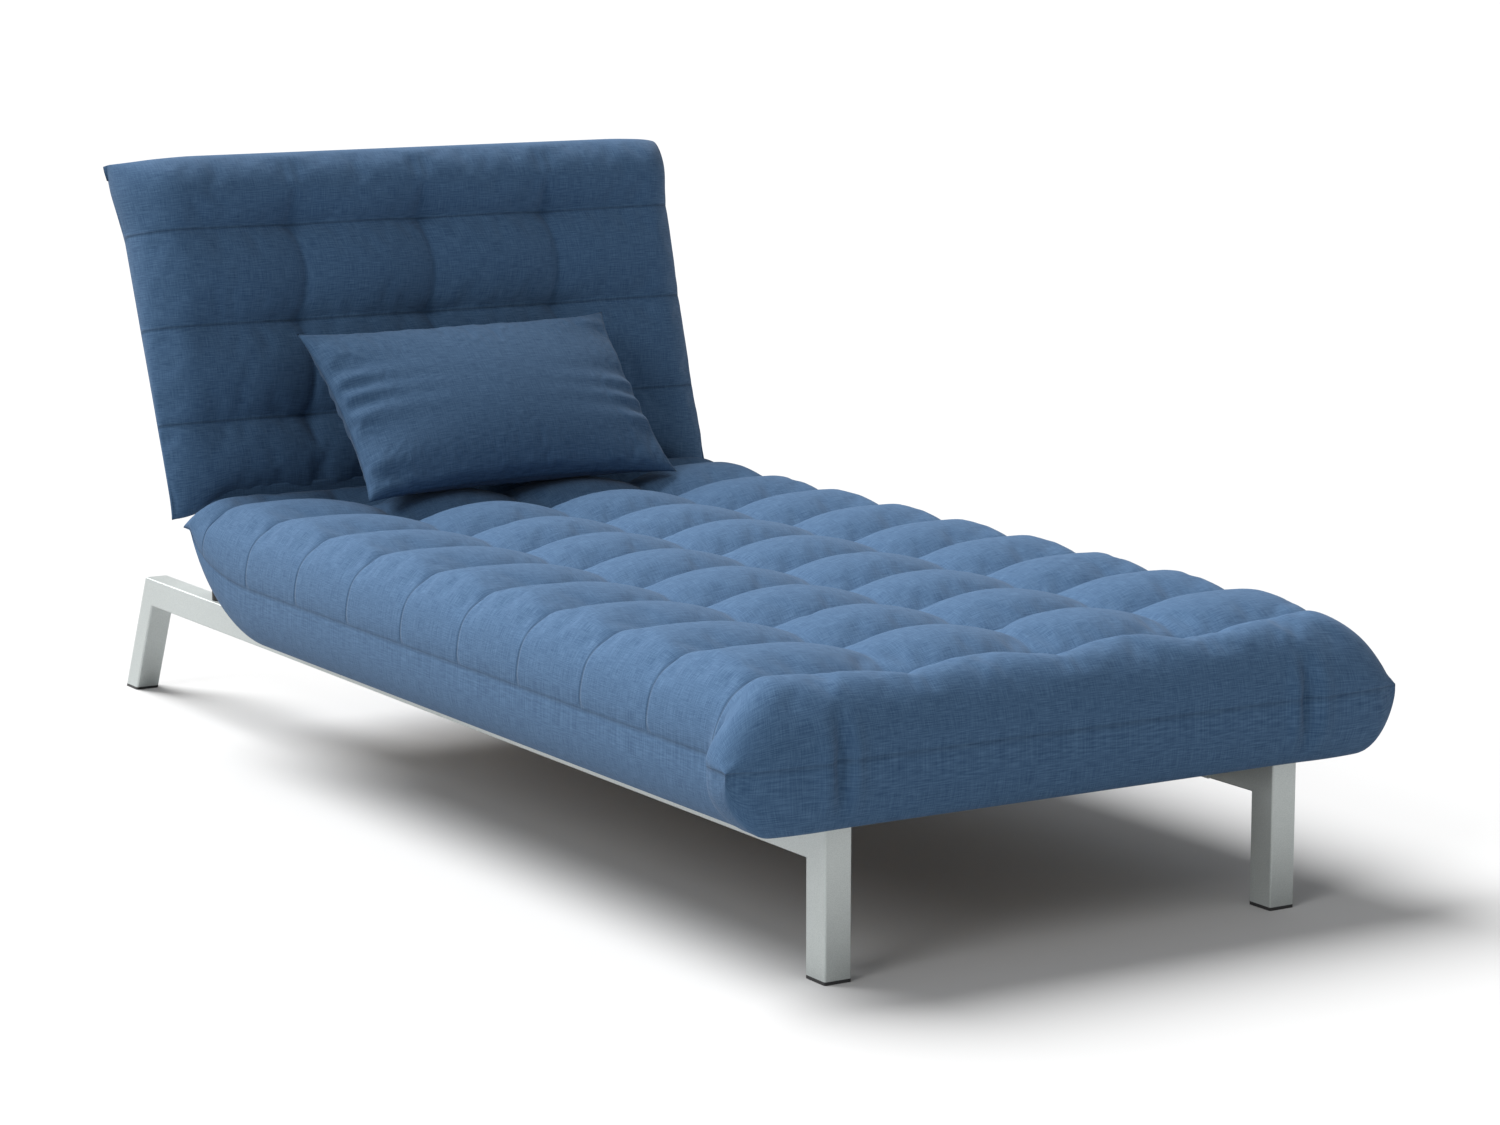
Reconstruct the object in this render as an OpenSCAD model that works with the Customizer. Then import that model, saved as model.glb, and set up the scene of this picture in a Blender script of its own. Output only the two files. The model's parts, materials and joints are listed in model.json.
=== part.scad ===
// Single futon sofa bed (click-clack chaise): a steel base on four legs, a slatted seat
// with a deep tufted pad, and a slatted backrest that ratchets from upright to flat.
// Millimetres, +Z up, +Y towards the head end, origin under the middle of the whole piece.

/* [Base frame] */
// Width of the base over the outer faces of its rails
frame_w = 654; // [540:1:790]
// Length of a rail's top edge, from the front leg's front face to the rear corner
rail_len = 1853; // [1700:1:2250]
// Height of the rails' top above the floor
rail_top_z = 176; // [150:1:260]
// Height of the rail tube
rail_h = 40; // [34:1:50]
// Width of the rail and leg tubes, across the base
tube_w = 35; // [30:1:50]
// Depth of the front leg tube, along the base
front_leg_d = 40; // [30:1:50]
// Depth of the rear leg tube, square to its own length
rear_leg_d = 35; // [30:1:50]
// Lean of the rear legs from upright, feet towards the head end
rear_leg_lean = 25; // [0:1:30]
// Wall of every steel tube
tube_wall = 1.5; // [1:0.1:2.5]
// Outer corner radius of the rectangular tubes
tube_corner_r = 2.5; // [2:0.1:4]
// Diameter of the three cross tubes
cross_tube_d = 25; // [20:1:28]

/* [Foot caps] */
// Thickness of a foot cap's sole
cap_sole_t = 4; // [2:0.5:8]
// Depth of the plug inside the leg
cap_plug_h = 22; // [10:1:40]
// Clearance round the plug
plug_gap = 0.2; // [0.1:0.05:0.5]

/* [Slats] */
// Number of slats under the seat pad
seat_slat_count = 10; // [6:1:12]
// Number of slats behind the back pad
back_slat_count = 3; // [2:1:4]
// Width of a slat
slat_w = 53; // [38:1:60]
// Thickness of a slat
slat_t = 8; // [6:0.5:10]
// Depth of a slat's end inside its holder
slat_grip = 16; // [10:1:20]
// Wall of a slat holder round the slat
holder_wall = 3; // [2:0.5:4]
// Clearance of a slat in its holder
slat_gap = 0.2; // [0.1:0.05:0.5]
// Diameter of the peg that fastens a holder to its tube
peg_d = 6; // [4:0.5:8]
// Diameter of the head that keeps the peg in its tube
peg_head_d = 9; // [8:0.5:12]

/* [Seat pad] */
// Width of the seat pad at the middle of its sides
seat_w = 860; // [760:1:960]
// Length of the seat pad, nose to rear end
seat_len = 1555; // [1290:1:1620]
// Thickness of the seat pad
seat_t = 174; // [140:1:210]
// Overhang of the seat pad's nose in front of the legs
nose_overhang = 28; // [0:1:60]
// How far the two foot-end corners stand out past the sides
ear_out = 36; // [10:1:50]

/* [Back pad] */
// Width of the back pad
back_w = 860; // [760:1:960]
// Length of the back pad, from its lower end to the top
back_len = 494; // [400:1:600]
// Thickness of the back pad
back_t = 130; // [105:1:135]
// Lean of the backrest from upright when it is set as a seat
back_lean = 10; // [5:1:20]

/* [Pad covers] */
// Depth over which a pad's sides round in
pad_round = 60; // [40:1:64]
// Corner radius of the pads seen from above
pad_corner_r = 55; // [30:1:70]
// Thickness of the pad covers
cover_t = 2; // [1:0.5:4]
// Clearance between a cover and its filling
cover_gap = 0.2; // [0.1:0.1:0.5]

/* [Backrest frame] */
// Side of the square tubes of the backrest frame
back_tube = 25; // [20:1:25]
// Diameter of the backrest's cross tubes
back_cross_d = 22; // [16:1:22]
// Distance of the backrest tubes' lower ends from the pivot
back_tube_start = 20; // [18:1:40]
// Distance of the backrest tubes' upper ends below the pad's top
back_tube_drop = 28; // [20:1:60]
// Air left above the rubber stops when the backrest is flat
stop_gap = 0.3; // [0.2:0.1:1]
// Diameter of the rubber stops on the rails
stop_d = 24; // [16:1:30]
// Distance of the rubber stops behind the pivot
stop_back = 97; // [60:1:200]

/* [Hinges] */
// Depth of the pivot below the top of the seat pad
pivot_depth = 22; // [18:1:30]
// Thickness of the hinge plates and arms
plate_t = 4; // [3:0.5:6]
// Air between a hinge plate and the arm beside it
plate_gap = 1; // [0.8:0.1:2]
// Diameter of the pivot pins
pin_d = 10; // [8:0.5:12]
// Running clearance of pins in their bores, on the radius
pin_gap = 0.05; // [0.02:0.01:0.1]
// Radius of the eyes round the pivot
eye_r = 14; // [12:1:16]
// Radius of the ratchet quadrant
quadrant_r = 34; // [30:1:38]
// Number of ratchet notches
notch_count = 9; // [6:1:12]
// Depth of a ratchet notch
notch_d = 4; // [2:0.5:6]
// Air between the quadrant and the pawl's nose
pawl_gap = 0.5; // [0.3:0.1:1]
// Diameter of the pawls' pins
pawl_pin_d = 6; // [5:0.5:8]
// Diameter of the pawl springs' wire
spring_wire_d = 1.2; // [0.8:0.1:1.4]

/* [Bolts] */
// Thread diameter of the frame bolts
bolt_d = 8; // [6:1:8]
// Clearance of the bolts in their holes, on the radius
bolt_gap = 0.2; // [0.1:0.05:0.4]

/* [Pillow] */
// Width of the pillow
pillow_w = 490; // [400:1:560]
// Height of the pillow
pillow_h = 278; // [220:1:300]
// Thickness of the pillow
pillow_t = 110; // [80:1:120]
// Lean of the pillow from upright
pillow_lean = 43; // [35:1:50]
// Turn of the pillow seen from above
pillow_turn = 3; // [-5:1:5]
// Distance of the pillow's middle in front of the pivot
pillow_front = 125; // [120:1:200]
// Height of the pillow's middle above the seat pad
pillow_rise = 110; // [109.5:0.5:140]

/* [Hidden] */
$fn = 48;
SIDES = [["left", -1], ["right", 1]];

// ---- derived places, in a layout frame whose y = 0 is the front legs' front face ----
rail_bottom_z = rail_top_z - rail_h;
rail_in_x = frame_w / 2 - tube_w;
rail_mid_x = frame_w / 2 - tube_w / 2;
foot_rear_y = rail_len + rail_top_z * tan(rear_leg_lean);
middle_y = (foot_rear_y - nose_overhang) / 2;
front_corner_out = [0, rail_top_z];
front_corner_in = [front_leg_d, rail_bottom_z];
rear_corner_out = [rail_len, rail_top_z];
rear_corner_in = [
    rail_len + rail_h * tan(rear_leg_lean) - rear_leg_d / cos(rear_leg_lean),
    rail_bottom_z
];

seat_end_y = seat_len - nose_overhang;
seat_top_z = rail_top_z + seat_t;
pivot_y = seat_end_y + 1;
pivot_z = seat_top_z - pivot_depth;

// backrest coordinates: s runs up the backrest from the pivot, w runs to its rear
back_rear_w = back_t - pivot_depth;
back_tube_w = back_rear_w + back_tube / 2;
back_pad_s = 1;
back_tube_top = back_len - back_tube_drop;
back_cross_s = [back_tube_start + back_tube + 15, back_tube_top - back_tube / 2 - 5];

plate_in_x = rail_in_x - plate_t;
arm_in_x = rail_in_x + plate_gap;
arm_out_x = arm_in_x + plate_t;

nut_t = 6.5;
nut_flats = 13;
bolt_head_d = 14;
bolt_head_t = 4.5;
pin_head_d = 20;
pin_head_t = 4;
pin_washer_t = plate_gap - 0.3;

// x room that the pads leave free for each hinge
hinge_slot_x = [plate_in_x - pin_head_t - 4, arm_out_x + nut_t + 4.5];
hinge_slot_front = eye_r + 52;
hinge_slot_s = 76;

slat_pitch = (seat_end_y - 160 - slat_w) / (seat_slat_count - 1);
first_slat_y = 52;
holder_d = slat_grip + holder_wall;
holder_h = slat_t + 2 * holder_wall;
flange_l = 70;
flange_z = [rail_bottom_z + 1, rail_top_z - holder_h - 0.5];
flange_bolt_y = 24;
cross_tube_z = (flange_z[0] + flange_z[1]) / 2;
cross_tube_gaps = [0, floor((seat_slat_count - 1) / 2), seat_slat_count - 2];
hinge_foot_bolts_y = [pivot_y - 38, pivot_y + 2];
back_slat_s = [
    for (i = [1:back_slat_count])
        back_cross_s[0] + (back_cross_s[1] - back_cross_s[0]) * i / (back_slat_count + 1)
];
arm_bolts_s = [back_tube_start + 18, back_tube_start + 80];

thin = 0.1;
plug_l = 9;
hinge_foot_lean = 30;
pawl_nose_r = 3;
pawl_pin_eye_r = 7;
spring_leg = 14;
pawl_pin_at = [quadrant_r + 16, 60];
pawl_nose_at = [quadrant_r + pawl_gap + pawl_nose_r, 20];

function slat_y(i) = first_slat_y + slat_w / 2 + i * slat_pitch;
function cross_y(g) = (slat_y(g) + slat_y(g + 1)) / 2;
CROSS_Y = [for (g = cross_tube_gaps) cross_y(g)];
CROSS_NAMES = ["front", "middle", "rear"];
function polar(p) = [p[0] * cos(p[1]), p[0] * sin(p[1])];

// ---------------------------------------------------------------- helpers

// Puts the layout frame's middle at the origin
module centred() {
    translate([0, -middle_y, 0]) children();
}

// Puts backrest coordinates (x, w, s) at the pivot, leaning as at rest
module on_backrest() {
    translate([0, pivot_y, pivot_z]) rotate([-back_lean, 0, 0]) children();
}

// Mirrors a right-hand piece to the side given, -1 for left
module on_side(side) {
    if (side < 0) mirror([1, 0, 0]) children();
    else children();
}

// Rectangle with true round corners
module round_rect(w, h, r) {
    square([w - 2 * r, h], center = true);
    square([w, h - 2 * r], center = true);
    for (x = [-1, 1], y = [-1, 1])
        translate([x * (w / 2 - r), y * (h / 2 - r)]) circle(r);
}

// Solid prism along x from an outline in y and z
module yz_prism(x0, x1, points) {
    translate([x0, 0, 0]) rotate([90, 0, 90]) linear_extrude(x1 - x0) polygon(points);
}

// Rod along x
module x_rod(x0, x1, r) {
    translate([x0, 0, 0]) rotate([0, 90, 0]) cylinder(r = r, h = x1 - x0);
}

// Rectangular bar along y, grown or shrunk by g on its four faces
module y_bar(x, z, w, h, y0, y1, r, g = 0) {
    translate([x, y1, z]) rotate([90, 0, 0])
        linear_extrude(y1 - y0) round_rect(w + 2 * g, h + 2 * g, max(r + g, 0.5));
}

// Rectangular bar along z, grown or shrunk by g on its four faces
module z_bar(x, y, w, d, z0, z1, r, g = 0) {
    translate([x, y, z0])
        linear_extrude(z1 - z0) round_rect(w + 2 * g, d + 2 * g, max(r + g, 0.5));
}

// Prism on one side of a mitre that runs from outer corner to inner corner
module mitre_side(outer, inner, towards) {
    far = 200;
    run = (inner - outer) / norm(inner - outer) * far;
    a = outer - run;
    b = inner + run;
    yz_prism(-frame_w, frame_w, [a, b, b + [towards * far, 0], a + [towards * far, 0]]);
}

// Hexagon nut along x from x0, with its bore
module x_nut(x0, flats, t, bore_r) {
    difference() {
        translate([x0, 0, 0]) rotate([0, 90, 0])
            cylinder(r = flats / sqrt(3), h = t, $fn = 6);
        x_rod(x0 - 1, x0 + t + 1, bore_r);
    }
}

// Button-head bolt along x: its head's underside is at x0, its shank runs to x1
module x_bolt(x0, x1, d) {
    x_rod(x0, x1, d / 2);
    difference() {
        x_rod(x0 - bolt_head_t, x0, bolt_head_d / 2);
        translate([x0 - bolt_head_t - 1, 0, 0]) rotate([0, 90, 0])
            cylinder(r = d * 0.32, h = 3.5, $fn = 6);
    }
}

// ---------------------------------------------------------------- base frame

module rail(side) {
    color([0.62, 0.65, 0.64]) on_side(side) centred() difference() {
        y_bar(rail_mid_x, rail_top_z - rail_h / 2, tube_w, rail_h, -20, foot_rear_y, tube_corner_r);
        y_bar(rail_mid_x, rail_top_z - rail_h / 2, tube_w, rail_h, -30, foot_rear_y + 10,
              tube_corner_r, -tube_wall);
        mitre_side(front_corner_out, front_corner_in, -1);
        mitre_side(rear_corner_out, rear_corner_in, 1);
        for (y = CROSS_Y, d = [-flange_bolt_y, flange_bolt_y])
            translate([0, y + d, cross_tube_z]) rail_wall_hole(bolt_d / 2 + bolt_gap);
        for (y = hinge_foot_bolts_y)
            translate([0, y, cross_tube_z]) rail_wall_hole(bolt_d / 2 + bolt_gap);
        for (i = [0:seat_slat_count - 1])
            translate([0, slat_y(i), rail_top_z - holder_h / 2])
                rail_wall_hole(peg_d / 2 + slat_gap);
    }
}

// Hole through a rail's inner wall only
module rail_wall_hole(r) {
    x_rod(rail_in_x - 1, rail_in_x + tube_wall + 1, r);
}

// The front leg's outline grown by g, between two heights
module front_leg_bar(z0, z1, g = 0) {
    z_bar(rail_mid_x, front_leg_d / 2, tube_w, front_leg_d, z0, z1, tube_corner_r, g);
}

module front_leg(side) {
    color([0.62, 0.65, 0.64]) on_side(side) centred() difference() {
        front_leg_bar(cap_sole_t, rail_top_z + 10);
        front_leg_bar(cap_sole_t - 1, rail_top_z + 11, -tube_wall);
        mitre_side(front_corner_out, front_corner_in, 1);
    }
}

// The rear leg's leaning outline grown by g, longer than the leg at both ends
module rear_leg_bar(g = 0) {
    reach = rail_top_z / cos(rear_leg_lean) + 60;
    translate([0, rear_corner_out[0], rear_corner_out[1]]) rotate([rear_leg_lean, 0, 0])
        z_bar(rail_mid_x, -rear_leg_d / 2, tube_w, rear_leg_d, -reach, 60, tube_corner_r, g);
}

// Slab of the rear leg's outline between two heights
module rear_leg_slab(z0, z1, g = 0) {
    intersection() {
        rear_leg_bar(g);
        translate([0, rail_len - 200, z0]) cube([frame_w, 500, z1 - z0]);
    }
}

module rear_leg(side) {
    color([0.62, 0.65, 0.64]) on_side(side) centred() difference() {
        rear_leg_slab(cap_sole_t, rail_top_z + 1);
        rear_leg_bar(-tube_wall);
        mitre_side(rear_corner_out, rear_corner_in, -1);
    }
}

module front_foot_cap(side) {
    color([0.06, 0.06, 0.06]) on_side(side) centred() {
        front_leg_bar(0, cap_sole_t);
        difference() {
            front_leg_bar(cap_sole_t - 0.5, cap_sole_t + cap_plug_h, -tube_wall - plug_gap);
            front_leg_bar(cap_sole_t + 2, cap_sole_t + cap_plug_h + 1, -tube_wall - 4);
        }
    }
}

module rear_foot_cap(side) {
    color([0.06, 0.06, 0.06]) on_side(side) centred() {
        rear_leg_slab(0, cap_sole_t);
        difference() {
            rear_leg_slab(cap_sole_t - 0.5, cap_sole_t + cap_plug_h, -tube_wall - plug_gap);
            rear_leg_slab(cap_sole_t + 2, cap_sole_t + cap_plug_h + 1, -tube_wall - 4);
        }
    }
}

module cross_tube(y) {
    reach = plate_in_x;
    color([0.62, 0.65, 0.64]) centred() translate([0, y, cross_tube_z]) difference() {
        x_rod(-reach, reach, cross_tube_d / 2);
        x_rod(-reach - 1, reach + 1, cross_tube_d / 2 - tube_wall);
    }
}

module cross_tube_flanges() {
    color([0.62, 0.65, 0.64]) for (s = SIDES) on_side(s[1]) centred() for (y = CROSS_Y)
        translate([0, y, cross_tube_z]) difference() {
            translate([plate_in_x, -flange_l / 2, flange_z[0] - cross_tube_z])
                cube([plate_t, flange_l, flange_z[1] - flange_z[0]]);
            for (d = [-flange_bolt_y, flange_bolt_y]) translate([0, d, 0])
                x_rod(plate_in_x - 1, rail_in_x + 1, bolt_d / 2 + bolt_gap);
        }
}

// Every place on a rail that takes a bolt, as y
function rail_bolt_y() = concat(
    [for (y = CROSS_Y, d = [-flange_bolt_y, flange_bolt_y]) y + d],
    hinge_foot_bolts_y
);

module frame_bolts() {
    color([0.3, 0.3, 0.31]) for (s = SIDES) on_side(s[1]) centred() for (y = rail_bolt_y())
        translate([0, y, cross_tube_z])
            x_bolt(plate_in_x, rail_in_x + tube_wall + nut_t + 2, bolt_d);
}

module frame_nuts() {
    color([0.7, 0.7, 0.7]) for (s = SIDES) on_side(s[1]) centred() for (y = rail_bolt_y())
        translate([0, y, cross_tube_z])
            x_nut(rail_in_x + tube_wall, nut_flats, nut_t, bolt_d / 2 + pin_gap);
}

// ---------------------------------------------------------------- seat slats

module seat_slat(i) {
    reach = rail_in_x - holder_wall - slat_gap;
    color([0.82, 0.68, 0.46]) centred()
        translate([-reach, slat_y(i) - slat_w / 2, rail_top_z - holder_wall - slat_t])
            cube([2 * reach, slat_w, slat_t]);
}

// Moulded holder that grips a slat's end, its back at x = 0 and its slat towards -x
module slat_holder() {
    difference() {
        translate([-holder_d, -slat_w / 2 - holder_wall, -holder_h / 2])
            cube([holder_d, slat_w + 2 * holder_wall, holder_h]);
        translate([-holder_d - 1, -slat_w / 2 - slat_gap, -slat_t / 2 - slat_gap])
            cube([slat_grip + 1, slat_w + 2 * slat_gap, slat_t + 2 * slat_gap]);
    }
    x_rod(-0.5, tube_wall + 0.4, peg_d / 2);
    x_rod(tube_wall + 0.2, tube_wall + 2.5, peg_head_d / 2);
}

module seat_slat_holders(side) {
    color([0.08, 0.08, 0.08]) on_side(side) centred() for (i = [0:seat_slat_count - 1])
        translate([rail_in_x, slat_y(i), rail_top_z - holder_h / 2]) slat_holder();
}

// ---------------------------------------------------------------- pads

// Outline that a pad has at angle a of its rounded side, seen square to its face
module pad_outline(w, l, a, e) {
    inset = pad_round * (1 - cos(a)) + e;
    r = max(pad_corner_r - inset / 2, 6);
    translate([-w / 2 + inset + r, inset + r])
        for (x = [0, w - 2 * inset - 2 * r], y = [0, l - 2 * inset - 2 * r])
            translate([x, y]) circle(r, $fn = 24);
}

// Padded slab: w across x, l along y, t along z, with rounded sides, inset by e all round
module pad(w, l, t, e) {
    hull() for (a = [-90:22.5:90])
        translate([0, 0, ((t - thin) / 2 - e) * (1 + sin(a)) + e])
            linear_extrude(thin) pad_outline(w, l, a, e);
}

// Full corner that stands out of the seat pad at the foot end
module seat_ear(e) {
    r = 46;
    at = [seat_w / 2 + ear_out - r, r];
    root = at + [-110, 130];
    hull() for (a = [-75:25:75])
        translate([0, 0, (seat_t / 2 - e) * (1 + 0.86 * sin(a)) + e])
            linear_extrude(thin) for (place = [at, root])
                translate(place) circle(max(r * cos(a) - e, 1), $fn = 24);
}

// Room for both hinges, grown by e
module hinge_slots(y0, y1, z0, z1, e) {
    for (s = SIDES) on_side(s[1])
        translate([hinge_slot_x[0] - e, y0 - e, z0 - e])
            cube([hinge_slot_x[1] - hinge_slot_x[0] + 2 * e, y1 - y0 + 2 * e, z1 - z0 + 2 * e]);
}

module seat_pad(e) {
    difference() {
        translate([0, -nose_overhang, rail_top_z]) {
            pad(seat_w, seat_len, seat_t, e);
            for (s = SIDES) on_side(s[1]) seat_ear(e);
        }
        hinge_slots(pivot_y - hinge_slot_front, pivot_y + 20, rail_top_z - 20,
                    pivot_z + eye_r + 2, e);
    }
}

module seat_pad_cover() {
    color([0.16, 0.26, 0.42]) centred() difference() {
        seat_pad(0);
        seat_pad(cover_t);
    }
}

module seat_pad_filling() {
    color([0.93, 0.9, 0.8]) centred() seat_pad(cover_t + cover_gap);
}

// Back pad in backrest coordinates, its face at w = -pivot_depth
module back_pad(e) {
    difference() {
        translate([0, -pivot_depth + back_t, back_pad_s]) rotate([90, 0, 0])
            pad(back_w, back_len - back_pad_s, back_t, e);
        hinge_slots(-eye_r - 2, back_t, -20, hinge_slot_s, e);
    }
}

module back_pad_cover() {
    color([0.16, 0.26, 0.42]) centred() on_backrest() difference() {
        back_pad(0);
        back_pad(cover_t);
    }
}

module back_pad_filling() {
    color([0.93, 0.9, 0.8]) centred() on_backrest() back_pad(cover_t + cover_gap);
}

// ---------------------------------------------------------------- hinges

// Round eye joined to another round end, from x0 to x1; places are [y, z]
module link(x0, x1, at_a, r_a, at_b, r_b) {
    translate([x0, 0, 0]) rotate([90, 0, 90]) linear_extrude(x1 - x0) hull() {
        translate(at_a) circle(r_a);
        translate(at_b) circle(r_b);
    }
}

// Sector of the ratchet about the pivot, with its notches
module quadrant() {
    low = -back_lean - 80 + pawl_nose_at[1] - 12;
    high = -back_lean + pawl_nose_at[1] + 10;
    step = (high - low - 12) / (notch_count - 1);
    difference() {
        intersection() {
            x_rod(plate_in_x, rail_in_x, quadrant_r);
            yz_prism(plate_in_x - 1, rail_in_x + 1, concat(
                [[0, 0]], [for (i = [0:4]) polar([quadrant_r * 1.4, low + (high - low) * i / 4])]
            ));
        }
        for (i = [0:notch_count - 1]) rotate([low + 6 + i * step, 0, 0])
            yz_prism(plate_in_x - 1, rail_in_x + 1, [
                [quadrant_r - notch_d, -0.4], [quadrant_r + 2, -1.2], [quadrant_r + 2, 3.2]
            ]);
    }
}

module hinge_plate(side) {
    foot_r = rail_h / 2 - 7;
    foot_z = cross_tube_z - pivot_z;
    color([0.55, 0.57, 0.57]) on_side(side) centred() translate([0, pivot_y, pivot_z])
        difference() {
            union() {
                link(plate_in_x, rail_in_x, [hinge_foot_bolts_y[0] - pivot_y, foot_z], foot_r,
                     [hinge_foot_bolts_y[1] - pivot_y, foot_z], foot_r);
                link(plate_in_x, rail_in_x, [-hinge_foot_lean, foot_z], foot_r, [0, 0], eye_r);
                quadrant();
            }
            x_rod(plate_in_x - 1, rail_in_x + 1, pin_d / 2 + pin_gap);
            for (y = hinge_foot_bolts_y) translate([0, y - pivot_y, foot_z])
                x_rod(plate_in_x - 1, rail_in_x + 1, bolt_d / 2 + bolt_gap);
        }
}

module hinge_pin(side) {
    color([0.7, 0.7, 0.7]) on_side(side) centred() translate([0, pivot_y, pivot_z]) {
        x_rod(plate_in_x - pin_head_t, plate_in_x, pin_head_d / 2);
        x_rod(plate_in_x - 0.5, arm_out_x + 0.3, pin_d / 2);
        x_rod(arm_out_x, arm_out_x + nut_t + 2, pin_d / 2 - 1);
    }
}

module hinge_pin_nuts() {
    color([0.7, 0.7, 0.7]) for (s = SIDES) on_side(s[1]) centred()
        translate([0, pivot_y, pivot_z])
            x_nut(arm_out_x + 0.3, nut_flats, nut_t, pin_d / 2 - 1 + pin_gap);
}

module hinge_washers() {
    color([0.7, 0.7, 0.7]) for (s = SIDES) on_side(s[1]) centred()
        translate([0, pivot_y, pivot_z]) difference() {
            x_rod(rail_in_x, rail_in_x + pin_washer_t, pin_d / 2 + 4);
            x_rod(rail_in_x - 1, rail_in_x + 2, pin_d / 2 + pin_gap);
        }
}

// Arm from the pivot behind the back pad and up along the backrest's side tube
module hinge_arm(side) {
    turn_at = [back_tube_w, arm_bolts_s[0]];
    end_r = back_tube / 2;
    color([0.55, 0.57, 0.57]) on_side(side) centred() on_backrest() difference() {
        union() {
            link(arm_in_x, arm_out_x, [0, 0], eye_r, turn_at, end_r);
            link(arm_in_x, arm_out_x, turn_at, end_r, [back_tube_w, arm_bolts_s[1]], end_r);
            link(arm_in_x, arm_out_x, [0, 0], eye_r, polar(pawl_pin_at), pawl_pin_eye_r + 2);
        }
        x_rod(arm_in_x - 1, arm_out_x + 1, pin_d / 2 + pin_gap);
        for (s = arm_bolts_s) translate([0, back_tube_w, s])
            x_rod(arm_in_x - 1, arm_out_x + 1, bolt_d / 2 + bolt_gap);
        pawl_pivot() x_rod(arm_in_x - 1, arm_out_x + 1, pawl_pin_d / 2 + pin_gap);
    }
}

// Puts x-rods at the pawl's pin, in backrest coordinates
module pawl_pivot() {
    translate([0, polar(pawl_pin_at)[0], polar(pawl_pin_at)[1]]) children();
}

module arm_bolts() {
    color([0.3, 0.3, 0.31]) for (s = SIDES) on_side(s[1]) centred() on_backrest()
        for (b = arm_bolts_s) translate([0, back_tube_w, b])
            x_bolt(arm_in_x, arm_out_x + tube_wall + nut_t + 2, bolt_d);
}

module arm_nuts() {
    color([0.7, 0.7, 0.7]) for (s = SIDES) on_side(s[1]) centred() on_backrest()
        for (b = arm_bolts_s) translate([0, back_tube_w, b])
            x_nut(arm_out_x + tube_wall, nut_flats, nut_t, bolt_d / 2 + pin_gap);
}

module pawl(side) {
    nose = polar(pawl_nose_at);
    pin = polar(pawl_pin_at);
    x0 = plate_in_x + 0.3;
    x1 = rail_in_x - 0.3;
    color([0.35, 0.35, 0.36]) on_side(side) centred() on_backrest() difference() {
        union() {
            link(x0, x1, pin, pawl_pin_eye_r, nose, pawl_nose_r);
            link(x0, x1, pin, pawl_pin_eye_r, pin + [16, 6], 4);
        }
        pawl_pivot() x_rod(x0 - 1, x1 + 1, pawl_pin_d / 2 + pin_gap);
    }
}

module pawl_pins() {
    color([0.7, 0.7, 0.7]) for (s = SIDES) on_side(s[1]) centred() on_backrest() pawl_pivot() {
        x_rod(plate_in_x - 4, arm_out_x, pawl_pin_d / 2);
        x_rod(plate_in_x - 4, plate_in_x - 3, pawl_pin_d / 2 + 2.5);
        x_rod(rail_in_x, arm_in_x, pawl_pin_d / 2 + 2);
    }
}

// Torsion spring round the pawl's pin: closed coils as a sleeve, one leg up and one down
module pawl_springs() {
    bore = pawl_pin_d / 2 + 0.5;
    x0 = plate_in_x - 2.8;
    x1 = x0 + 2 * spring_wire_d;
    leg_off = bore + spring_wire_d / 2 + 0.15;
    color([0.75, 0.75, 0.75]) for (s = SIDES) on_side(s[1]) centred() on_backrest()
        pawl_pivot() difference() {
            union() {
                x_rod(x0, x1, bore + spring_wire_d);
                for (leg = [[x0, -1], [x1 - spring_wire_d, 1]])
                    translate([leg[0] + spring_wire_d / 2, leg[1] * leg_off, 0])
                        rotate([0, leg[1] < 0 ? 180 : 0, 0])
                            cylinder(d = spring_wire_d, h = spring_leg);
            }
            x_rod(x0 - 1, x1 + 1, bore);
        }
}

module flat_stop(side) {
    top = pivot_z - back_rear_w - back_tube - stop_gap;
    color([0.05, 0.05, 0.05]) on_side(side) centred()
        translate([rail_mid_x, pivot_y + stop_back, rail_top_z])
            cylinder(d = stop_d, h = top - rail_top_z);
}

// ---------------------------------------------------------------- backrest frame

module back_tube_bar(s0, s1, g = 0) {
    z_bar(arm_out_x + back_tube / 2, back_tube_w, back_tube, back_tube, s0, s1, tube_corner_r, g);
}

module back_tube_side(side) {
    color([0.62, 0.65, 0.64]) on_side(side) centred() on_backrest() difference() {
        back_tube_bar(back_tube_start, back_tube_top);
        back_tube_bar(back_tube_start - 1, back_tube_top + 1, -tube_wall);
        for (s = arm_bolts_s) translate([0, back_tube_w, s])
            x_rod(arm_out_x - 1, arm_out_x + tube_wall + 1, bolt_d / 2 + bolt_gap);
        for (s = back_slat_s) translate([0, back_tube_w, s])
            x_rod(arm_out_x - 1, arm_out_x + tube_wall + 1, peg_d / 2 + slat_gap);
    }
}

module back_tube_plugs() {
    ends = [[back_tube_start, -1], [back_tube_top, 1]];
    color([0.06, 0.06, 0.06]) for (s = SIDES) on_side(s[1]) centred() on_backrest()
        for (e = ends) {
            head = [e[0], e[0] + 3 * e[1]];
            plug = [e[0] + 0.5 * e[1], e[0] - plug_l * e[1]];
            back_tube_bar(min(head), max(head));
            back_tube_bar(min(plug), max(plug), -tube_wall - plug_gap);
        }
}

module back_cross_tube(s, reach) {
    color([0.62, 0.65, 0.64]) centred() on_backrest() translate([0, back_tube_w, s])
        difference() {
            x_rod(-reach, reach, back_cross_d / 2);
            x_rod(-reach - 1, reach + 1, back_cross_d / 2 - tube_wall);
        }
}

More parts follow.
